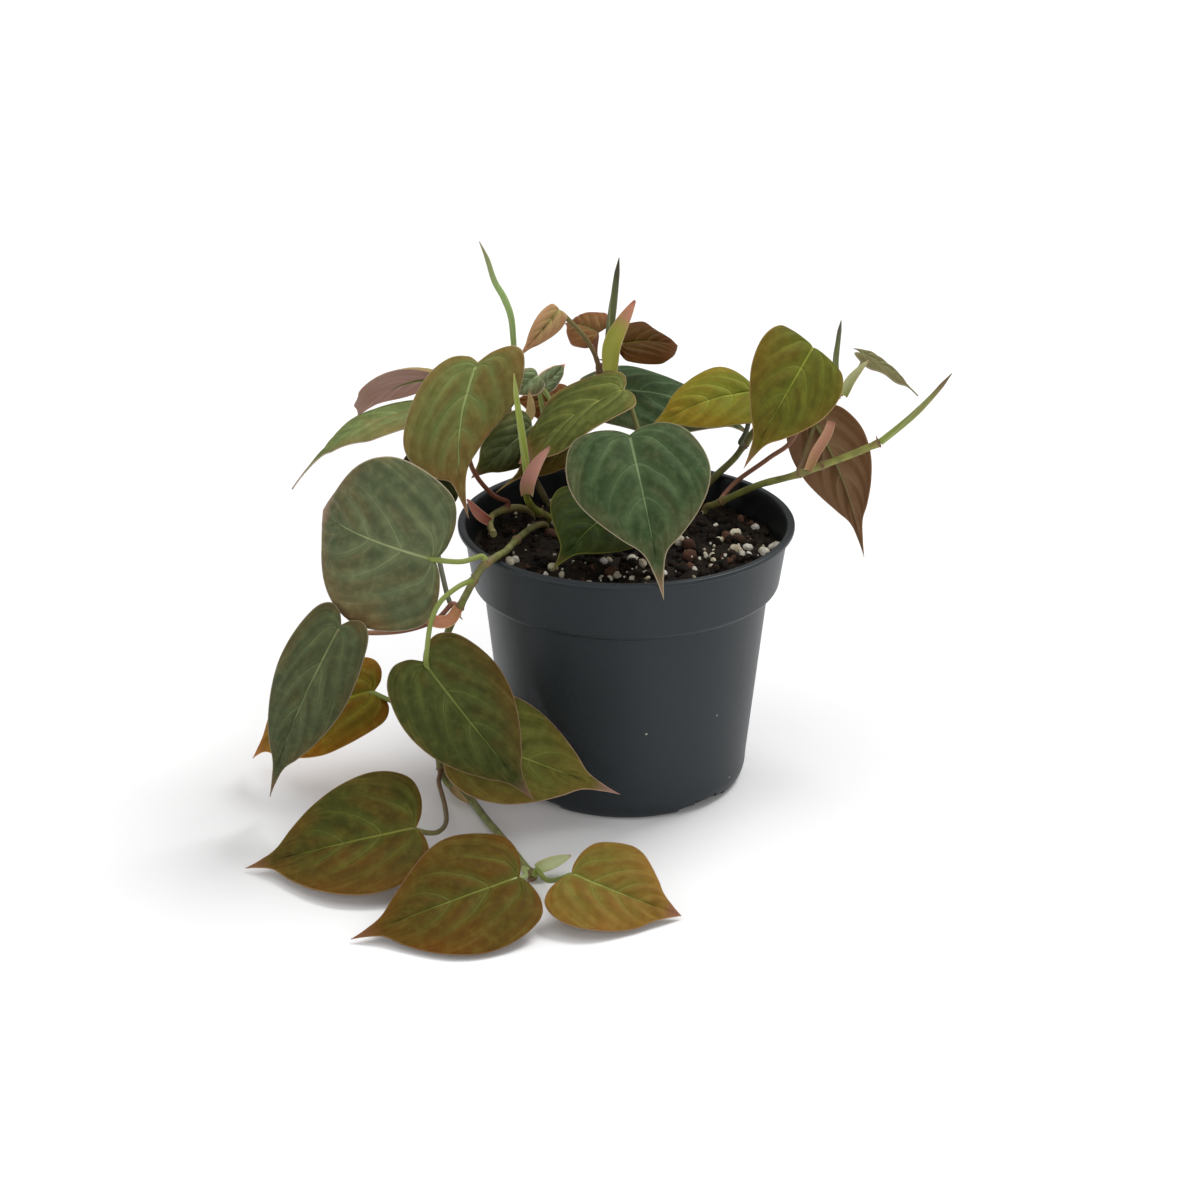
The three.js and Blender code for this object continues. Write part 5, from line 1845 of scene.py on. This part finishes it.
def length_setting(name, description, default, least, most):
    """A length, shown in the scene's unit."""
    return FloatProperty(
        name=name, description=description, default=default, min=least, max=most,
        subtype="DISTANCE", unit="LENGTH",
    )


def share_setting(name, description, default):
    """A share between 0 and 1."""
    return FloatProperty(
        name=name, description=description, default=default, min=0, max=1, subtype="FACTOR",
    )


class PotSettings(PropertyGroup):
    """Finish of the nursery pot."""

    plastic: colour_setting("Plastic", "Colour of the moulded plastic", (0.0105, 0.013, 0.015))
    plastic_worn: colour_setting(
        "Worn plastic", "Its paler clouds and flow marks", (0.018, 0.022, 0.025)
    )
    # Painted shade: the near black that darkens the inner wall above the mix
    soil_and_inner_shade: colour_setting(
        "Soiled plastic", "Its colour inside the rim, where the wet mix stained it",
        (0.003, 0.003, 0.003),
    )
    roughness: share_setting("Roughness", "Roughness of the satin surface", 0.42)
    lip_round: length_setting("Lip rounding", "Rounding of the lip's edges", 0.0006, 0, 0.001)
    cut_bevel: length_setting(
        "Cut easing", "Width of the eased edges of feet and drain slots", 0.0004, 0, 0.002
    )


class MixSettings(PropertyGroup):
    """Finish of the potting mix and of what lies in it."""

    peat: colour_setting("Peat", "Colour of the damp peat", (0.0060, 0.0053, 0.0043))
    peat_light: colour_setting("Dry peat", "Colour of its drier crumbs", (0.025, 0.019, 0.013))
    perlite: colour_setting("Perlite", "Colour of the whitest grains", (0.72, 0.70, 0.64))
    perlite_cream: colour_setting(
        "Cream perlite", "Colour of the yellowest grains", (0.58, 0.52, 0.34)
    )
    bark: colour_setting("Bark", "Colour of the bark crumbs", (0.085, 0.036, 0.019))
    crumb_height: length_setting(
        "Crumb height", "How far the crumbs of the top rise and sink", 0.0011, 0, 0.003
    )
    grain_size: length_setting(
        "Largest grain", "Width of the largest scattered perlite grain", 0.0046, 0.001, 0.008
    )
    seed: IntProperty(
        name="Seed", description="Picks where the grains and crumbs fall", default=5, min=0,
    )


class StemSettings(PropertyGroup):
    """Sizes and finish of the stems."""

    radius: length_setting(
        "Radius", "Half the thickness of a vine between its joints", 0.00115, 0.0005, 0.003
    )
    swelling: share_setting("Swelling", "How much thicker a vine is at a joint", 0.22)
    ring_height: length_setting(
        "Ring height", "Half the thickness of the scar ring at a joint", 0.00022, 0, 0.001
    )
    stub_length: length_setting(
        "Root stub", "How far a root stub stands out at a joint", 0.0016, 0, 0.005
    )
    joint: colour_setting("Joint", "Colour of scar rings and root stubs", (0.230, 0.130, 0.065))


class LeafSettings(PropertyGroup):
    """Sizes and finish that all the leaves share."""

    blade_thickness: length_setting(
        "Blade thickness", "Thickness of a blade away from its rim", 0.0005, 0.0002, 0.001
    )
    stalk_radius: length_setting(
        "Stalk radius", "Half the thickness of a stalk", 0.0008, 0.0003, 0.002
    )
    vine_radius: length_setting(
        "Vine radius", "Half the thickness of the vines that the stalks leave",
        0.00115, 0.0005, 0.003,
    )
    quilt_height: length_setting(
        "Quilting", "How far the blade swells up between its side veins", 0.0014, 0, 0.002
    )
    velvet_sheen: share_setting("Velvet", "Strength of the velvety bloom", 0.03)


class BractSettings(PropertyGroup):
    """Sizes of the sheaths."""

    sheath_thickness: length_setting(
        "Sheath thickness", "Thickness of a sheath along its middle", 0.00045, 0.0001, 0.001
    )


class StageSettings(PropertyGroup):
    """Floor and light."""

    floor: colour_setting("Floor", "Colour of the plain floor", (0.91, 0.91, 0.91))
    surround: FloatProperty(
        name="Surround", description="Strength of the even light from all round",
        default=0.43, min=0,
    )
    key_power: FloatProperty(
        name="Key light", description="Power of the large soft light above, on the right",
        default=80.0, min=0, subtype="POWER", unit="POWER",
    )


# Operators


class PHILODENDRON_OT_pot(Operator):
    """Turns the nursery pot, and cuts its feet and drain slots"""

    bl_idname = "philodendron.pot"
    bl_label = "Nursery Pot"

    def execute(self, context):
        settings = context.scene.philodendron_pot
        skin = Skin()
        skin.add(*turned(pot_profile(settings.lip_round / MM), POT_SECTORS))
        pot = skin.piece("black_nursery_pot", [plastic_material(settings)])
        cutters = []
        for i in range(DRAIN_COUNT):
            angle = DRAIN_FIRST_ANGLE + i * 360 / DRAIN_COUNT
            for kind, sizes in DRAIN_CUTS.items():
                cutters.append(radial_cutter(f"{kind} {i}", angle=angle, **sizes))
        cut_away(pot, cutters, settings.cut_bevel)
        pot.data.shade_smooth()
        pot.data.set_sharp_from_angle(angle=math.radians(SHARP_EDGE))
        settle(pot, ["nursery_pot"], "pot_plastic")
        return {"FINISHED"}


class PHILODENDRON_OT_mix(Operator):
    """Fills the pot with peat, and scatters perlite and bark crumbs on it"""

    bl_idname = "philodendron.mix"
    bl_label = "Potting Mix"

    def execute(self, context):
        settings = context.scene.philodendron_mix
        peat = peat_material(settings)
        skin = Skin()
        skin.add(*mix_body(settings))
        body = skin.piece("peat_mix", [peat])
        settle(body, ["potting_mix"], "potting_mix")
        materials = (peat, perlite_material(settings), bark_material(settings))
        for number, (name, kind) in enumerate(GRAINS.items()):
            growth = grain_growth(materials[number], kind["fineness"])
            grains = growth.grow(
                name, mix_top(settings, PLENTY[name]), density=float(kind["density"]),
                smallest=kind["smallest"], largest=kind.get("largest", settings.grain_size),
                rarity=kind["rarity"], stand=kind["stand"], lumps=kind["lumps"],
                seed=settings.seed + number,
            )
            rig.ride(grains, BODY)
            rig.slot(grains, "potting_mix")
        return {"FINISHED"}


class PHILODENDRON_OT_stems(Operator):
    """Grows the vines along their lines, with rings and root stubs at their joints"""

    bl_idname = "philodendron.stems"
    bl_label = "Stems"

    def execute(self, context):
        settings = context.scene.philodendron_stems
        growth = stem_growth(stem_material(settings))
        for number, name in enumerate(VINES):
            stem = growth.grow(
                name.replace("vine", "stem").replace("shoot", "stem"), stem_mesh(name),
                radius=settings.radius, swelling=settings.swelling,
                ring_height=settings.ring_height, stub_length=settings.stub_length, seed=number,
            )
            settle(stem, [name], "stem")
        return {"FINISHED"}


class PHILODENDRON_OT_leaves(Operator):
    """Grows the open leaves, each a quilted blade on its stalk"""

    bl_idname = "philodendron.leaves"
    bl_label = "Leaves"

    def execute(self, context):
        settings = context.scene.philodendron_leaves
        blades = {}
        for name, codes in TONES.items():
            tone = dict(zip(TONE_PARTS, map(colour, codes)))
            upper = blade_material(name, tone, settings)
            blades[name] = (upper, underside_material(name, tone, settings))
        stalks = {name: stalk_material(name, tones) for name, tones in STALK_TONES.items()}
        corners = blade_corners()
        for name, leaf in LEAVES.items():
            skin = Skin()
            add_blade(skin, leaf, settings, corners)
            base, left, tip = leaf["bronze"]
            skin.readings["bronze"] = [
                base + left * side + tip * along
                for side, along in zip(skin.readings["left"], skin.readings["along"])
            ]
            add_stalk(skin, leaf, settings, 2)
            materials = [*blades[leaf["tone"]], stalks[leaf["stalk"]]]
            made = skin.piece(name.replace("leaf_", "") + "_leaf", materials)
            # Painted light and shade: the tint also lightens or darkens the whole leaf
            dye_and_light(made.data, (*leaf.get("tint", (1, 1, 1)), 1))
            settle(made, [name], "leaf")
        return {"FINISHED"}


class PHILODENDRON_OT_rolled_leaves(Operator):
    """Grows the young leaves that are still rolled up"""

    bl_idname = "philodendron.rolled_leaves"
    bl_label = "Rolled Leaves"

    def execute(self, context):
        for name, rolled in ROLLED_LEAVES.items():
            skin = Skin()
            add_rolled(skin, rolled)
            made = skin.piece(
                name.replace("rolled_leaf", "young_roll"), [rolled_material(name, rolled["tones"])]
            )
            settle(made, [name], "young_leaf")
        return {"FINISHED"}


class PHILODENDRON_OT_sheaths(Operator):
    """Makes the sheaths, thin curled bracts beside the young growth"""

    bl_idname = "philodendron.sheaths"
    bl_label = "Sheaths"

    def execute(self, context):
        settings = context.scene.philodendron_bracts
        for name, sheath in SHEATHS.items():
            skin = Skin()
            add_sheath(skin, sheath, settings)
            made = skin.piece(
                name.replace("sheath", "bract"),
                [sheath_material(name, sheath["tones"], sheath.get("turn", 0.25))],
            )
            settle(made, [name], "sheath")
        return {"FINISHED"}


class PHILODENDRON_OT_stage(Operator):
    """Lays the floor, and sets up the lights and the camera"""

    bl_idname = "philodendron.stage"
    bl_label = "Stage"

    def execute(self, context):
        settings = context.scene.philodendron_stage
        scene = context.scene
        mesh = bpy.data.meshes.new("floor")
        signs = ((-1, -1), (1, -1), (1, 1), (-1, 1))
        corners = [(x * FLOOR_REACH, y * FLOOR_REACH, 0) for x, y in signs]
        mesh.from_pydata(corners, [], [(0, 1, 2, 3)])
        floor = bpy.data.objects.new("floor", mesh)
        scene.collection.objects.link(floor)
        shade = Shade("floor")
        matt = {"Specular IOR Level": 0.1}
        mesh.materials.append(shade.surface(matt, (*settings.floor, 1), 0.9))
        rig.stage(floor)

        world = bpy.data.worlds.new("surround")
        world.use_nodes = True
        scene.world = world
        surround = world.node_tree.nodes["Background"]
        surround.inputs["Color"].default_value = (1, 1, 1, 1)
        surround.inputs["Strength"].default_value = settings.surround

        for name, place, aim, size, power in LIGHTS:
            lamp = bpy.data.lights.new(name, "AREA")
            lamp.shape = "RECTANGLE"
            lamp.size, lamp.size_y = size
            lamp.energy = power * settings.key_power
            light = bpy.data.objects.new(name, lamp)
            light.location = place
            light.rotation_mode = "QUATERNION"
            light.rotation_quaternion = (Vector(aim) - Vector(place)).to_track_quat("-Z", "Y")
            scene.collection.objects.link(light)

        lens = bpy.data.cameras.new("camera")
        lens.sensor_width = SENSOR
        lens.lens = FOCAL_PIXELS * SENSOR / PHOTO_SIDE
        lens.clip_start = 0.05
        lens.clip_end = 50
        camera = bpy.data.objects.new("camera", lens)
        camera.location = Vector(CAMERA_PLACE) * MM
        camera.rotation_euler = (math.radians(90 - CAMERA_PITCH), 0, 0)
        scene.collection.objects.link(camera)
        scene.camera = camera
        scene.view_settings.view_transform = "Standard"
        return {"FINISHED"}


class PHILODENDRON_PT_sidebar(Panel):
    """Lists the pieces in the order in which they are made"""

    bl_idname = "PHILODENDRON_PT_sidebar"
    bl_label = "Potted Philodendron"
    bl_space_type = "VIEW_3D"
    bl_region_type = "UI"
    bl_category = "Philodendron"

    def draw(self, context):
        for name, operator in PIECES.items():
            box = self.layout.box()
            box.operator(operator.bl_idname)
            settings = getattr(context.scene, f"philodendron_{name}", None)
            for label in settings.bl_rna.properties.keys() if settings else ():
                if label not in ("rna_type", "name"):
                    box.prop(settings, label)


SETTINGS = {
    "pot": PotSettings,
    "mix": MixSettings,
    "stems": StemSettings,
    "leaves": LeafSettings,
    "bracts": BractSettings,
    "stage": StageSettings,
}

PIECES = {
    "pot": PHILODENDRON_OT_pot,
    "mix": PHILODENDRON_OT_mix,
    "stems": PHILODENDRON_OT_stems,
    "leaves": PHILODENDRON_OT_leaves,
    "rolled_leaves": PHILODENDRON_OT_rolled_leaves,
    "bracts": PHILODENDRON_OT_sheaths,
    "stage": PHILODENDRON_OT_stage,
}


def register():
    for group in (*SETTINGS.values(), *PIECES.values(), PHILODENDRON_PT_sidebar):
        bpy.utils.register_class(group)
    for name, group in SETTINGS.items():
        setattr(bpy.types.Scene, f"philodendron_{name}", PointerProperty(type=group))


def unregister():
    for name in SETTINGS:
        delattr(bpy.types.Scene, f"philodendron_{name}")
    for group in (PHILODENDRON_PT_sidebar, *PIECES.values(), *SETTINGS.values()):
        bpy.utils.unregister_class(group)


def main():
    register()
    bpy.ops.philodendron.pot()
    bpy.ops.philodendron.mix()
    bpy.ops.philodendron.stems()
    bpy.ops.philodendron.leaves()
    bpy.ops.philodendron.rolled_leaves()
    bpy.ops.philodendron.sheaths()
    bpy.ops.philodendron.stage()
    sizes = {
        "cad": [list(corner) for corner in cad_box],
        "visual": [list(corner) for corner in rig.bounds()],
    }
    with open(SIZE_FILE, "w") as file:
        json.dump(sizes, file, indent=1)


if __name__ == "__main__":
    main()
